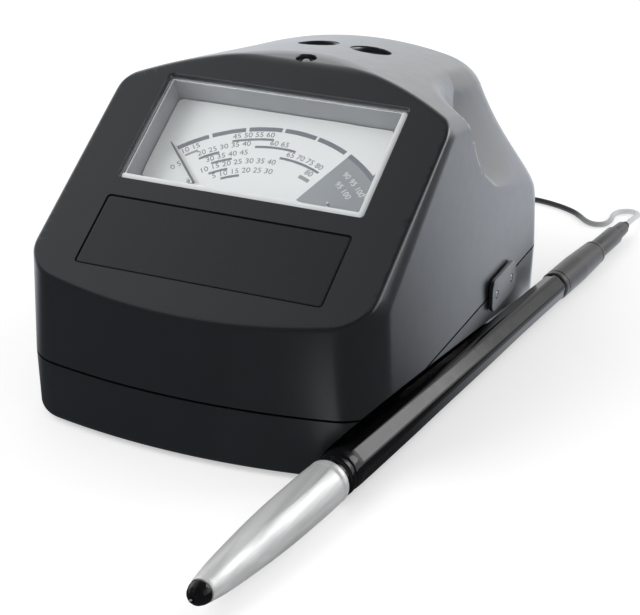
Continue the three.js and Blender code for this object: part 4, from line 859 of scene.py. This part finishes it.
def housing_distance(p):
    """Distance outside the whole housing, with the small rounds of its moulded edges."""
    x, y, z = p[..., 0], p[..., 1], p[..., 2]
    deck = (z - deck_height(x, y)) * cos(FALL)
    face_z = FACE_Z + y * tan(SLOPE)
    band = (np.abs(x) - FACE_HALF) * cos(BAND_ANGLE) + (z - face_z) * sin(BAND_ANGLE)
    facet = (z - facet_height(y)) * cos(FACET_SLOPE)
    face = (z - FACE_Z) * cos(SLOPE) - y * sin(SLOPE)
    value = wall_distance(p)
    value = rounded_max(value, deck, SHOULDER)
    value = rounded_max(value, facet, FACET_ROUND)
    value = rounded_max(value, band, BAND_ROUND)
    return rounded_max(value, face, FACE_ROUND)


CENTRE = np.array([0, (FRONT_Y + REAR_Y) / 2 - FRONT_CORNER, PARTING])
POLE = np.array([0, -sin(SLOPE), cos(SLOPE)])
FARTHEST = 150.0
AROUND = 300


def leaves(distance, directions, inset=0.0, halvings=34):
    """Where rays from the housing's middle leave a shape, by halving."""
    low = np.zeros(directions.shape[:-1])
    high = np.full(directions.shape[:-1], FARTHEST)
    for _ in range(halvings):
        middle = (low + high) / 2
        inside = distance(CENTRE + directions * middle[..., None]) + inset < 0
        low = np.where(inside, middle, low)
        high = np.where(inside, high, middle)
    return CENTRE + directions * ((low + high) / 2)[..., None]


def evened(points, turn, count, closed):
    """Places along lines of points, evenly spaced in length plus turn times their bending.
    Gives fractional positions along the second-to-last axis."""
    steps = np.diff(points, axis=-2)
    lengths = np.linalg.norm(steps, axis=-1)
    bend = np.linalg.norm(np.diff(unit(steps), axis=-2), axis=-1)
    bend = np.concatenate([bend[..., :1], bend], -1)
    gone = np.cumsum(lengths + turn * bend, axis=-1)
    total = np.concatenate([np.zeros(lengths.shape[:-1] + (1,)), gone], -1)
    wanted = np.linspace(0, 1, count + 1)[:-1] if closed else np.linspace(0, 1, count)
    rows = total.reshape(-1, total.shape[-1])
    at = np.arange(rows.shape[1])
    return np.stack([np.interp(wanted * row[-1], row, at) for row in rows])


def level(angle):
    return polar(1, angle, 0.0)


fine_angles = np.linspace(0, 2 * math.pi, 2881)
fine_outline = leaves(housing_distance, level(fine_angles))
AZIMUTHS = evened(fine_outline, 16.0, AROUND, True)[0] * (fine_angles[1] - fine_angles[0])


def over_the_top(angles, share):
    """Directions that lean from the face's normal towards level directions, by shares of the
    whole way: the cosine of the lean times the normal plus its sine times the level part."""
    flat = level(angles)
    toward = unit(flat - (flat @ POLE)[:, None] * POLE)
    lean = share * np.arccos(flat @ POLE)[:, None]
    return POLE * np.cos(lean)[..., None] + toward[:, None] * np.sin(lean)[..., None]


def shell_rings(inset, fine, count, turn, start):
    """Rings of the housing's skin, or of a shell inside it, from the face's middle down to
    the parting line, close together where the skin bends."""
    share = np.repeat(np.linspace(start, 1, fine)[None], AROUND, 0)
    rough = leaves(housing_distance, over_the_top(AZIMUTHS, share), inset, 16)
    spots = evened(rough, turn, count, False)
    chosen = start + (1 - start) * spots / (fine - 1)
    rings = leaves(housing_distance, over_the_top(AZIMUTHS, chosen), inset)
    return np.swapaxes(rings, 0, 1)


def wall_ring(z, inset):
    """The outline of the walls at one height."""

    def at_one_height(p):
        return wall_distance(np.concatenate([p[..., :2], np.full_like(p[..., 2:], z)], -1))

    ring = leaves(at_one_height, level(AZIMUTHS), inset)
    ring[:, 2] = z
    return ring


def peg(radius, z0, z1, x=0, y=0):
    """A round pin or hole."""
    body = turned([[0, z0], [radius, z0], [radius, z1], [0, z1]], 32, 0.001, steps=1)
    return moved(body, [x, y, 0])


def funnel(radius, depth, flare):
    """A round hole from above whose mouth opens in a short curve."""
    lip = flare * 1.6
    profile = [[radius, -depth], [radius, -lip]]
    for a in np.linspace(0, math.pi / 2, 7)[1:]:
        profile.append([radius + flare * (1 - math.cos(a)), -lip * (1 - math.sin(a))])
    profile = np.array([*profile, [radius + flare, 1.5]])
    return stacked(polar(profile[:, :1], circle(96), profile[:, 1:]))


WINDOW_CORNER, RECESS_CORNER, PILLAR_X, PILLAR_R, LAMP_HOLE = 1.2, 1.3, 16.2, 1.9, 3.0
HOLDER, BAY = (28.4, 19.9), (27, 18.5)


def stepped_hole(bore, seat):
    """A hole through the rear wall with a wider flat seat outside."""
    profile = [[0, -4], [bore, -4], [bore, 0], [seat, 0], [seat, 3], [0, 3]]
    return turned(profile, 64, 0.001, steps=1)


def cove_space():
    """The long cove for the pen: at each station a round of the pen's radius plus the gap,
    with a roof that climbs to the right at 41 degrees from upright and an open foot."""
    sections = []
    out, foot = 30.0, -12
    turn = np.radians(np.linspace(COVE_LEAN - 90, -90, 12))
    for station, radius in ((-40, NOSE_R), (0, NOSE_R), (128, 4.5)):
        r = radius + COVE_GAP
        roof = (out * cos(COVE_LEAN) + r) / sin(COVE_LEAN)
        a = np.concatenate([[out, out], r * np.sin(turn), [-r]])
        b = np.concatenate([[foot, roof], r * np.cos(turn), [foot]])
        middle = PEN_STATION + PEN_AXIS * station
        sections.append(middle + a[:, None] * PEN_SIDE + b[:, None] * PEN_UP)
    return stacked(sections)


def dress_skin(obj, distance):
    """Shading of a cut shell: corners that lie on the moulded skin take the direction in which
    the skin's distance grows fastest, and the others keep their own. The faces in the parting
    joint turn dark."""
    mesh = obj.data
    shade(mesh, SKIN_SHARP)
    corners = read(mesh.corner_normals, "vector", 3).astype(float)
    spots = (read(mesh.vertices, "co", 3).astype(float) - SHIFT) / MM
    at = read(mesh.loops, "vertex_index", kind=np.int32)
    sizes = read(mesh.polygons, "loop_total", kind=np.int32)
    flat = np.repeat(read(mesh.polygons, "normal", 3), sizes, 0)
    step, near, alike = 0.02, 0.03, 0.75
    steps = step * np.eye(3)
    slope = unit(np.stack([distance(spots + d) - distance(spots - d) for d in steps], -1))
    on_skin = np.abs(distance(spots)) < near
    agrees = np.sum(slope[at] * flat, axis=1) > alike
    take = on_skin[at] & agrees
    corners[take] = slope[at][take]
    mesh.normals_split_custom_set(corners.tolist())
    mesh.materials.append(recess_black)
    off_joint = np.abs((read(mesh.polygons, "center", 3)[:, 2] - SHIFT[2]) / MM - PARTING)
    dark = (off_joint < JOINT / 2 + LIP_ROUND) * (len(mesh.materials) - 1)
    mesh.polygons.foreach_set("material_index", dark.astype(np.int32))


def upper_housing():
    """The skin's rings down to the parting line, and back up as a shell 2.2 inside them."""
    outer = shell_rings(0.0, fine=420, count=132, turn=15.0, start=0.03)
    inner = shell_rings(WALL, fine=160, count=22, turn=8.0, start=0.08)[::-1]
    outer[-1, :, 2] = HIGH_LIP
    lip = outer[-1].copy()
    lower = lip - unit((lip - CENTRE) * [1, 1, 0]) * LIP_ROUND
    outer[-1] += [0, 0, LIP_ROUND]
    inner[0, :, 2] = HIGH_LIP
    body = stacked(np.concatenate([outer, lower[None], inner]))
    obj = piece("housing_upper", body, casing_plastic, "shell", nodes=("upper_casing",))
    posts = [peg(POST_R, HIGH_LIP, 34.0, *spot) for spot in BOSSES]
    for x in (-PILLAR_X, PILLAR_X):
        pillar = turned_about_x(-FALL, (x, DIAL_Y, deck_height(0, DIAL_Y)))
        posts.append(set_in(pillar, peg(PILLAR_R, -12.9, -3.8)))
    holes = [peg(SCREW_HOLE_R, 10, SCREW_TOP + FIT, *spot) for spot in BOSSES]
    window = block(-WINDOW_HALF, WINDOW_HALF, WINDOW_LOW, WINDOW_HIGH, -6, 3, WINDOW_CORNER)
    half, low, high = LABEL_HALF + LABEL_GAP, LABEL_LOW - LABEL_GAP, LABEL_HIGH + LABEL_GAP
    recess = block(-half, half, low, high, -LABEL_DEPTH, 3, RECESS_CORNER)
    holes += [set_in(FACE, window), set_in(FACE, recess)]
    holes.append(set_in(LIGHT, funnel(LAMP_HOLE, 8, 0.4)))
    holes += [set_in(deck_frame(x), funnel(DIAL_HOLE, 5, 0.55)) for x in (-DIAL_X, DIAL_X)]
    cut(obj, [*holes, cove_space()], posts)
    dress_skin(obj, housing_distance)


def lower_housing():
    """Wall outlines from the parting line down to a rounded foot, closed by the floor, and a
    hollow above the floor; the battery holder stands in it."""
    t = np.linspace(0, math.pi / 2, 9)
    foot = [(FLOOR + FOOT_ROUND * (1 - math.sin(a)), FOOT_ROUND * (1 - math.cos(a))) for a in t]
    stages = [(LOW_LIP, LIP_ROUND), (LOW_LIP - LIP_ROUND, 0.0), (15, 0), (11, 0), (7, 0), *foot]
    outside = [wall_ring(z, inset) for z, inset in stages]
    inside = [wall_ring(z, WALL) for z in (LOW_LIP, 12, FLOOR + WALL)]
    middle = CENTRE * [1, 1, 0] + (inside[-1] - CENTRE * [1, 1, 0]) * 0.5
    middle[:, 2] = FLOOR + WALL
    body = stacked([*outside[::-1], *inside, middle])
    obj = piece("housing_lower", body, casing_plastic, "shell", nodes=("lower_casing",))
    posts = [peg(POST_R, 2.3, LOW_LIP, *spot) for spot in BOSSES]
    holder = block(*over_bay(*HOLDER), 2.3, 16.3)
    holes = [block(*over_bay(*BAY), -1, 14.9)]
    holes += [peg(SCREW_HOLE_R, -1, 25, *spot) for spot in BOSSES]
    holes += [peg(SCREW_HEAD_R, -1, 4.2, *spot) for spot in BOSSES]
    for x, flange, radius, _, _ in (INLET, SOCKET):
        holes.append(set_in(rear_frame(x, flange), stepped_hole(radius + FIT, flange + FIT)))
    for part in (block(-6, 6, -3, 3, -4, 2), block(-SWITCH_HALF, SWITCH_HALF, -4.9, 4.9, 0, 3)):
        holes.append(set_in(rear_frame(SWITCH_X, SWITCH_HALF), part))
    cut(obj, [*holes, cove_space()], [*posts, holder])
    dress_skin(obj, wall_distance)


upper_housing()
lower_housing()

# Pieces in the face.

label_limits = (-LABEL_HALF, LABEL_HALF, LABEL_LOW, LABEL_HIGH, -LABEL_DEPTH, -0.25)
piece("label_plate", set_in(FACE, tablet(*label_limits, 0.9, 0.18)), label_finish, "label")


def cover_body():
    """The clear cover: round-cornered outlines up its sides and over the bevel, which draws
    them in by 2.1, with a small round at each edge of it."""
    half_v, middle_v = (WINDOW_HIGH - WINDOW_LOW) / 2, (WINDOW_HIGH + WINDOW_LOW) / 2
    stages = [
        (0.8, -2.6), (0.6, -2.4), (0.6, -1.6), (0.62, -1.5), (0.95, -1.2),
        (1.9, -0.74), (2.1, -0.66), (2.35, -0.61), (2.7, -0.6),
    ]
    corner = 2.2
    loops = []
    for inset, z in stages:
        outline = rounded_outline(WINDOW_HALF - inset, half_v - inset, max(corner - inset, 0.4), 8)
        loops.append(at_height(outline + [0, middle_v], z))
    return set_in(FACE, stacked(loops))


cover = piece("window_cover", cover_body(), clear_plastic(), "clear", angle=30)
# The cover's rim lines, and its bevel along the lower and right sides, take the opaque pale
# material: painted highlights.
cover.data.materials.append(painted_highlight_edge)
middles = (read(cover.data.polygons, "center", 3) - SHIFT) / MM
across, up_face, height_out = ((middles - FACE[0]) @ FACE[1].T).T
highlight_lines = (np.abs(height_out + 1.35) < 0.1) | (np.abs(height_out + 0.7) < 0.03)
lit_sides = (up_face < WINDOW_LOW + 2.6) | (across > WINDOW_HALF - 2.3)
highlight_bevel = lit_sides & (np.abs(height_out + 1.08) < 0.42)
cover.data.polygons.foreach_set("material_index", (highlight_lines | highlight_bevel).astype(np.int32))
card_body = tablet(-37.95, 37.95, -3, 40.1, CARD_TOP - 0.6, CARD_TOP, 1.8, 0.08)
piece("dial_card", set_in(FACE, card_body), card, "paper", nodes=("dial_plate",))


def strip(edges):
    """A thin strip on the face from four edges, each with its flat points and its height."""
    return set_in(FACE, stacked(np.stack([at_height(line, z) for line, z in edges], 1)))


def arc_mark(radius, width, first, last, z=CARD_TOP + INK):
    """A printed arc: points at the scale's middle plus the radius, in and out by half the
    width, times the sine and cosine of an angle measured from the upright."""
    angle = np.radians(np.linspace(first, last, max(int(abs(last - first) / 1.2), 2) + 1))
    ray = np.column_stack([np.sin(angle), np.cos(angle)])
    card_edge = 37.8 / np.maximum(np.sin(angle), 0.1)
    edges = []
    for w, height in ((-0.5, z - INK), (0.5, z - INK), (0.5, z), (-0.5, z)):
        reach = np.minimum(radius + width * w, card_edge)[:, None]
        edges.append((ray * reach + [0, SCALE_MIDDLE], height))
    return strip(edges)


def printed(text, radius, middle, z=CARD_TOP + INK / 2):
    """Numbers bent along an arc: a place x, y of the flat text goes to the angle middle plus
    x over the radius, and to the radius plus y."""
    curve = bpy.data.curves.new("numbers", "FONT")
    curve.body = text
    curve.size = DIGIT
    curve.align_x = "CENTER"
    curve.resolution_u = 3
    curve.extrude = INK / 2
    obj = add_object("numbers", curve)
    bpy.context.view_layer.update()
    mesh = plain_mesh(obj)
    mesh.calc_loop_triangles()
    spots = read(mesh.vertices, "co", 3).astype(float)
    tris = read(mesh.loop_triangles, "vertices", 3, np.int32)
    bpy.data.objects.remove(obj)
    bpy.data.curves.remove(curve)
    bpy.data.meshes.remove(mesh)
    angle = math.radians(middle) + spots[:, 0] / radius
    reach = radius + spots[:, 1]
    bent = [reach * np.sin(angle), reach * np.cos(angle) + SCALE_MIDDLE, spots[:, 2] + z]
    return set_in(FACE, (np.column_stack(bent), np.zeros((0, 4), int), tris))


SEGMENTS = ((-43.4, -30.9), (-29.6, -16.7), (-15.4, -2.4), (-1.2, 11.8), (12.8, 25.9))
FINE_ARCS = (
    (41.1, -21.9, -4.4), (38.3, -11.8, 7.4), (35.0, 1.8, 24.3), (37.9, -37.3, -27.8),
    (34.6, -32.4, -22.2), (31.1, -35.0, -24.6), (28.0, -29.0, -17.8),
)
ROWS = (
    ("10 15", 42.0, -39.0), ("20 25 30 35 40", 38.8, -25.5), ("30 35 40 45", 35.6, -24.5),
    ("10 15 20 25 30 35 40", 32.3, -19.0), ("5 10 15 20 25 30", 28.9, -16.0),
    ("45 50 55 60", 42.0, -13.2), ("60 65", 39.1, -1.2), ("65 70 75 80", 36.0, 14.0),
    ("80", 32.6, 20.4), ("0 5", 38.4, -47.5),
)
SECTOR_ROWS = (("90 95 100", 39.0, 41.0), ("95 100", 35.4, 41.0))
PALE_ARCS = ((31.2, 1.2, 17.1, 24.0), (41.0, 0.8, -42.1, -36.5))
SECTOR, SECTOR_RIM = (34.4, 19.6, 28.0, 66.0), (SCALE_R, SCALE_WIDE, 28.0, 56.5, CARD_TOP + 2 * INK)
grey, pale, white = (print_grey, "meter_grey"), (print_pale, "meter_grey"), (print_white, "paper")
for name, marks, ink in (
    ("scale_segments", [arc_mark(SCALE_R, SCALE_WIDE, *limits) for limits in SEGMENTS], grey),
    ("scale_fine_arcs", [arc_mark(radius, 0.8, *limits) for radius, *limits in FINE_ARCS], grey),
    ("scale_pale_arcs", [arc_mark(*arc) for arc in PALE_ARCS], pale),
    ("scale_sector", [arc_mark(*SECTOR)], pale),
    ("scale_sector_rim", [arc_mark(*SECTOR_RIM)], grey),
    ("scale_numbers", [printed(*row) for row in ROWS], grey),
    ("sector_numbers", [printed(*row, CARD_TOP + 1.6 * INK) for row in SECTOR_ROWS], white),
):
    piece(name, together(*marks), *ink, nodes=(), angle=20)


def pointer_body():
    """The pointer: along its length the half width is constant and falls off towards the tip,
    and behind the pivot it widens into a small counterweight."""
    reach = np.array([-4.6, -4.4, -2.6, -2.3, 0, 30, 43, 46, 46.6])[:, None]
    half = np.array([0.32, 0.55, 0.55, 0.33, 0.33, 0.33, 0.3, 0.2, 0.08])[:, None]
    far, side = np.array([-sin(45), cos(45)]), np.array([cos(45), sin(45)])
    low, high = NEEDLE_LOW, NEEDLE_HIGH
    blade = strip([(reach * far + half * w * side + [0, PIVOT_V], z)
                   for w, z in ((-1, low), (1, low), (1, high), (-1, high))])
    hub = turned([[0, low], [1.5, low], [1.5, high], [0, high]], 40, 0.06)
    return together(blade, set_in(FACE, moved(hub, [0, PIVOT_V, 0])))


piece("pointer", pointer_body(), needle_paint, "needle", "pointer_movement", angle=30)

# Light in the facet, and the two dials in the deck.

LENS_R, LENS_TOP = 1.55, -0.5
ring = turned([[1.9, -2.8], [2.7, -2.8], [2.7, -1.1], [1.9, -1.1]], 72, 0.25, closed=True)
piece("light_ring", set_in(LIGHT, ring), rubber_black, "rubber_black")
dome = [[LENS_R * math.sin(a), LENS_TOP - LENS_R * (1 - math.cos(a))]
        for a in np.linspace(1.5708, 0.05, 12)]
lens = turned([[0, -5.6], [LENS_R, -5.6], *dome, [0, LENS_TOP]], 64, 0.05)
piece("light_lens", set_in(LIGHT, lens), lamp_lens, "lens", nodes=("status_light",))


def grooved(radius, height, angle):
    """Forty fine grooves round a knob's wall."""
    wall = (radius > KNOB_R - 0.05) & (height < -1.8)
    return radius - np.where(wall, 0.12 * (0.5 + 0.5 * np.cos(40 * angle)), 0)


def dial_knob(side, x):
    """A turned knob with a soft rim, grooves and a screwdriver slot."""
    profile = [[0, -6], [KNOB_R, -6], [KNOB_R, -1.4], [KNOB_R - 0.8, -1.4], [KNOB_R - 1.1, -1.65],
               [0, -1.65]]
    body = set_in(deck_frame(x), turned(profile, 240, 0.22, grooved))
    obj = piece(f"dial_{side}", body, rubber_black, "rubber_black", f"{side}_setting",
                (f"setting_dial_{side}",))
    cut(obj, [set_in(deck_frame(x), block(-3.5, 3.5, -0.55, 0.55, -2.6, 0, 0.2))])


dial_knob("left", -DIAL_X)
dial_knob("right", DIAL_X)

# Plate on the right side, across the parting line, and its two screws.

PLATE_SCREW, PLATE_TOP, PLATE_ROUND = 6.7, 1.3, 0.3


def side_plate():
    """Round-cornered outlines stacked outwards with a rounded rim; the screws' seats are cut
    later."""
    t = np.linspace(0, math.pi / 2, 7)
    wall = PLATE_TOP - PLATE_ROUND
    stages = [(0.25, 0), (0, 0.25), (0, wall)]
    stages += [(PLATE_ROUND * (1 - math.cos(a)), wall + PLATE_ROUND * math.sin(a)) for a in t[1:]]
    loops = [at_height(rounded_outline(10.75 - inset, 5.2 - inset, 3.2 - inset, 10), z)
             for inset, z in stages]
    return set_in(PLATE, stacked(loops))


def cross_cut(radius, top, deep, wide):
    """The two crossed slots of a screw."""
    limits = (-radius, radius, -wide / 2, wide / 2)
    return [block(*spread, top - deep, top + 1, wide * 0.2)
            for spread in (limits, limits[2:] + limits[:2])]


plate = piece("side_plate", side_plate(), casing_plastic, "shell")
seat = turned([[0, 0.8], [1.3, 0.8], [1.3, 1.2], [1.42, 1.7], [0, 1.7]], 40, 0.02)
cut(plate, [set_in(PLATE, moved(seat, [x, 0, 0])) for x in (-PLATE_SCREW, PLATE_SCREW)])
head = turned([[0, 0.95], [1.0, 0.95], [1.0, 1.3], [0, 1.3]], 40, 0.25)
for name, x in (("plate_screw_front", -PLATE_SCREW), ("plate_screw_rear", PLATE_SCREW)):
    obj = piece(name, set_in(PLATE, moved(head, [x, 0, 0])), steel, "steel")
    cut(obj, [set_in(PLATE, moved(c, [x, 0, 0])) for c in cross_cut(0.62, 1.3, 0.22, 0.24)])

# Underside: screws, feet, the battery cover and the cells.

for k, spot in enumerate(BOSSES):
    profile = [[0, 2.1], [2.7, 2.1], [2.7, 3.2], [1.35, 3.9], [1.35, SCREW_TOP - 0.8],
               [0.5, SCREW_TOP], [0, SCREW_TOP]]
    name = f"casing_screw_{k + 1}"
    obj = piece(name, moved(turned(profile, 48, 0.3), [*spot, 0]), steel, "steel")
    cut(obj, [(points * [1, 1, -1] + [*spot, 4.2], quads[:, ::-1], tris[:, ::-1])
              for points, quads, tris in cross_cut(1.5, 2.1, 0.7, 0.5)])

foot_body = turned([[0, 0], [4.7, 0], [5, 0.3], [5, 0.9], [0, 0.9]], 64, 0.2)
for k, spot in enumerate(FEET):
    piece(f"foot_{k + 1}", moved(foot_body, [*spot, 0]), rubber_black, "rubber_black")


def battery_cover():
    """The door with a rib at each long side, a grip and three fine grooves beside it."""
    top, half_x, half_y, rib = FLOOR + DOOR_THICK, 26.7, 18.2, 1.2
    door = tablet(*over_bay(half_x, half_y), FLOOR, top, 0.8, 0.15, 0.25)
    ribs = [block(BAY_X - 15, BAY_X + 15, y, y + rib, top - 0.6, top + 2.4, 0.2)
            for y in (BAY_Y - half_y, BAY_Y + half_y - rib)]
    grip = [block(BAY_X - 6, BAY_X + 6, BAY_Y - 17.6, BAY_Y - 16, FLOOR - 1, FLOOR + 0.5)]
    grip += [block(BAY_X - 5, BAY_X + 5, y - 0.35, y + 0.35, FLOOR - 1, FLOOR + 0.25)
             for y in (20.0, 21.6, 23.2)]
    obj = piece("battery_cover", door, casing_plastic, "shell", "battery_cover", ("battery_door",))
    cut(obj, grip, ribs)


battery_cover()
CELL_R, CELL_HALF, CELL_PITCH, CELL_HEIGHT = 5.25, 43.7 / 2, 11.1, 8.35
low, high = -CELL_HALF, CELL_HALF
profile = [[0, low], [4.3, low], [4.5, low + 0.3], [CELL_R, low + 0.3], [CELL_R, high - 0.4],
           [4.6, high - 0.4], [4.6, high - 0.2], [1.9, high], [1.9, high + 0.8], [0, high + 0.8]]
points, quads, tris = turned(profile, 64, 0.25)
for k, turn in enumerate((1, -1, 1)):
    lying = np.column_stack([points[:, 2] * turn, points[:, 1], points[:, 0]])
    lying = lying + [BAY_X, BAY_Y + (k - 1) * CELL_PITCH, CELL_HEIGHT]
    piece(f"battery_{k + 1}", outward(lying, quads, tris), cell_sleeve, "cell")

# Rear wall: power inlet, probe socket and slide switch.

for name, (x, flange, radius, bore, length) in (("power_inlet", INLET), ("probe_socket", SOCKET)):
    profile = [[bore, -length], [radius, -length], [radius, FIT], [flange, FIT],
               [flange, FLANGE_THICK], [bore + 0.5, FLANGE_THICK], [bore, 0.8]]
    body = set_in(rear_frame(x, flange), turned(profile, 72, 0.3, closed=True))
    piece(name, body, rubber_black, "rubber_black")
pin = [[0, -13], [2.9, -13], [2.9, -11.3], [0.9, -11.3], [0.9, -0.9], [0.6, -0.3], [0, -0.3]]
piece("inlet_pin", set_in(rear_frame(*INLET[:2]), turned(pin, 40, 0.15)), steel, "steel")


def slide_switch():
    """The switch's frame with a slot, and its slider with four grooves in its knob."""
    where = rear_frame(SWITCH_X, SWITCH_HALF, out=FIT)
    knob_half, knob_x, travel = 2.3, -1.6, 1.6
    frame_plate = set_in(where, tablet(-7.6, 7.6, -4.6, 4.6, 0, 1.2, 1.2, 0.3))
    obj = piece("switch_frame", frame_plate, rubber_black, "rubber_black")
    slot = knob_half + travel + FIT
    cut(obj, [set_in(where, block(-slot, slot, -1.7, 1.7, 1.2 - SWITCH_DEEP, 3, 0.2))],
        [set_in(where, block(-5.7, 5.7, -2.7, 2.7, -SWITCH_DEEP, 0.6, 0.2))])
    slider = tablet(knob_x - knob_half, knob_x + knob_half, -1.4, 1.4, 1.5 - SWITCH_DEEP, 2.7,
                    0.3, 0.25)
    obj = piece("switch_slider", set_in(where, slider), gloss_black, "gloss_black", "power_slider")
    cut(obj, [set_in(where, block(knob_x + d - 0.2, knob_x + d + 0.2, -2, 2, 2.45, 4, 0.1))
              for d in (-1.2, -0.4, 0.4, 1.2)])


slide_switch()

# Pen, along its own axis. The shares are of the way from front to back, and of the radius.

NOSE_GROOVE, GROOVE_HALF, GROOVE_DEEP = -5.4, 0.45, 0.5
NOSE_SHARES = [[0, 0.52], [0.04, 0.6], [0.12, 0.7], [0.25, 0.8], [0.33, 0.85], [0.41, 0.9],
               [0.5, 0.94], [0.6, 0.975], [0.72, 0.99], [0.85, 1], [1, 0.98]]
BARREL_SHARES = [[0, 0.95], [0.008, 1], [0.1, 0.985], [0.25, 0.945], [0.37, 0.895], [0.6, 0.825],
                 [0.78, 0.745], [1, 0.7]]
FLAT_TURN, FLAT_HALF, FLAT_FROM, FLAT_FULL = 42, 2.2, 4.4, 6.6


def shared_radius(station, start, end, radius, shares):
    """The radius at stations: read from the shares in straight stretches, then averaged over
    the stations 2.5 either side so that no crease shows."""
    spread = np.linspace(-2.5, 2.5, 11)
    shares = np.array(shares)
    share = (station[:, None] + spread - start) / (end - start)
    return radius * np.interp(np.clip(share, 0, 1), shares[:, 0], shares[:, 1]).mean(1)


def pen_piece(name, body, material, slot, rides="probe", angle=28):
    piece("pen_" + name, set_in(PEN, body), material, slot, rides, ("probe_" + name,), angle)


def nose_body():
    """The bright nose: the shared radius at each station, cut off on top where the flat's
    height over the cosine of the angle is less, over a bore."""
    station = np.linspace(NOSE_FRONT, NOSE_BACK, 126)
    radius = shared_radius(station, NOSE_FRONT, NOSE_BACK, NOSE_R, NOSE_SHARES)
    radius -= GROOVE_DEEP * np.exp(-(((station - NOSE_GROOVE) / GROOVE_HALF) ** 2))
    radius[0], radius[-1] = radius[0] - 0.15, radius[-1] - 0.25
    angle = circle(144)
    off_top = np.cos(angle + math.pi / 2)
    height = 5.55 + 0.65 * (1 + station / 44.8)
    flat = np.where(off_top > 0.5, height[:, None] / np.maximum(off_top, 0.5), 99)
    outer = polar(np.minimum(radius[:, None], flat), angle, station[:, None])
    bore = np.array([[3.3, NOSE_BACK], [3.3, -50], [1.9, -50], [1.9, -58.9], [0.68, -58.9],
                     [0.68, NOSE_FRONT]])
    return ringed(np.concatenate([outer, polar(bore[:, :1], angle, bore[:, 1:])]))


def barrel_body():
    """The barrel: the shared radius, with six long flats that start softly behind its front."""
    station = np.concatenate([
        [BARREL_FRONT, 2.05, 2.4], np.linspace(2.8, 4, 4), np.linspace(FLAT_FROM, FLAT_FULL, 8),
        np.linspace(7.5, 142.6, 112), [142.95, BARREL_END],
    ])
    radius = shared_radius(station, BARREL_FRONT, BARREL_END, BARREL_R, BARREL_SHARES)
    radius[0], radius[1], radius[-1] = radius[0] - 0.35, radius[1] - 0.12, radius[-1] - 0.25
    half = math.asin(FLAT_HALF / BARREL_R)
    step = math.pi / 3
    middle = math.radians(FLAT_TURN) + step * np.arange(6)[:, None]
    over_flat = np.linspace(-half * 1.06, half * 1.06, 16)
    between = np.linspace(half * 1.15, step - half * 1.15, 7)
    from_top = (middle + np.concatenate([over_flat, between])[None]).ravel()
    from_flat = np.abs(((from_top - math.radians(FLAT_TURN)) / step + 6.5) % 1 - 0.5) * step
    flat = np.where(from_flat < half, math.cos(half) / np.cos(from_flat), 1.0)
    begun = soft_step(FLAT_FROM, FLAT_FULL, station)[:, None]
    reach = radius[:, None] * (1 - begun * (1 - flat[None]))
    angle = from_top - math.pi / 2
    ends = np.array([[BARREL_END], [BARREL_FRONT]])
    outer, inner = polar(reach, angle, station[:, None]), polar(PEN_BORE, angle, ends)
    return ringed(np.concatenate([outer, inner]))


def ring_grooves(radius, height, angle):
    """A fine groove round the sleeve's wall near each of its ends."""
    grooves = sum(np.exp(-((height - spot) / 0.25) ** 2) for spot in (146.0, 174.8))
    return radius - np.where(radius > 3.9, 0.16 * grooves, 0)


def spring_wire():
    """The spring: a wire round a helix of twelve turns, closer together at both ends."""
    t = np.linspace(0, 1, 12 * 28)
    turns = 12 * (t + 0.06 * np.sin(2 * math.pi * t))
    low, high = -55.6, -50.6
    return along(polar(0.99, 2 * math.pi * turns, low + (high - low) * t), 0.15, 8)


needle = [[0, -71.3], [0.1, -71.3], [0.38, -70.4], [0.38, -58.6], [1.3, -58.6], [1.3, -57],
          [0, -57]]
tip = [[0.68, -70.1], [1.0, -70.1], [1.55, -69.7], [2.6, -68.6], [3.2, -67.0], [3.4, -65.8],
       [0.68, -65.8]]
collar = [[1.5, -2.7], [5.3, -2.7], [5.3, -0.8], [6.1, -0.55], [6.25, -0.1], [6.25, 1.0],
          [5.95, 1.6], [1.5, 1.6]]
sleeve = [[2.7, 143.5], [4.45, 143.5], [SLEEVE_R, 144.1]]
sleeve += [[SLEEVE_R, z] for z in np.linspace(145, 160, 60)]
sleeve += [[SLEEVE_R - 0.65 * (z - 160.25) / 16.15, z] for z in np.linspace(161, 176.4, 60)]
sleeve += [[3.5, 177], [2.7, 177]]
tail = [[1.5, 177.3], [3.35, 177.3], [3.22, 193.4], [2.62, 194], [1.5, 194]]
end_cap = [[0.73, 194.3], [2.65, 194.3], [2.3, 201.4], [1.7, 202], [0.73, 202]]
nub = [[0, 202.3], [1.45, 202.3], [1.45, 204], [1.2, NUB_BACK], [0, NUB_BACK]]
grip = (grip_grey, "rubber_black")
polished = (gloss_black, "gloss_black")
pen_piece("needle", turned(needle, 32, 0.15), steel, "steel", "probe_point")
pen_piece("tip", turned(tip, 72, 0.4, closed=True), *polished)
pen_piece("nose", nose_body(), chrome, "chrome")
pen_piece("collar", turned(collar, 120, 0.3, closed=True), *polished)
pen_piece("barrel", barrel_body(), *polished)
pen_piece("sleeve", turned(sleeve, 96, 0.15, ring_grooves, closed=True, steps=2), *grip)
pen_piece("tail", turned(tail, 80, 0.3, closed=True), *grip)
pen_piece("end_cap", turned(end_cap, 72, 0.35, closed=True), *grip)
pen_piece("strain_relief", turned(nub, 48, 0.2), rubber_black, "rubber_black")
pen_piece("spring", spring_wire(), steel, "steel", angle=60)

# Finishes of the parts that keep the model's own shapes.

KEPT = (
    (tray_grey, ["meter_housing"]),
    (magnet_grey, ["meter_magnet"]),
    (copper, ["meter_coil", "probe_sensor"]),
    (brass, ["meter_bridge", "contact_left", "contact_right"]),
    (steel, ["pointer_stop_left", "pointer_stop_right"]),
    (board_green, ["potentiometer_left", "potentiometer_right", "upper_board", "main_board"]),
    (buzzer_black, ["buzzer"]),
)
for material, nodes in KEPT:
    for node in nodes:
        for material_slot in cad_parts[node].material_slots:
            material_slot.material = material
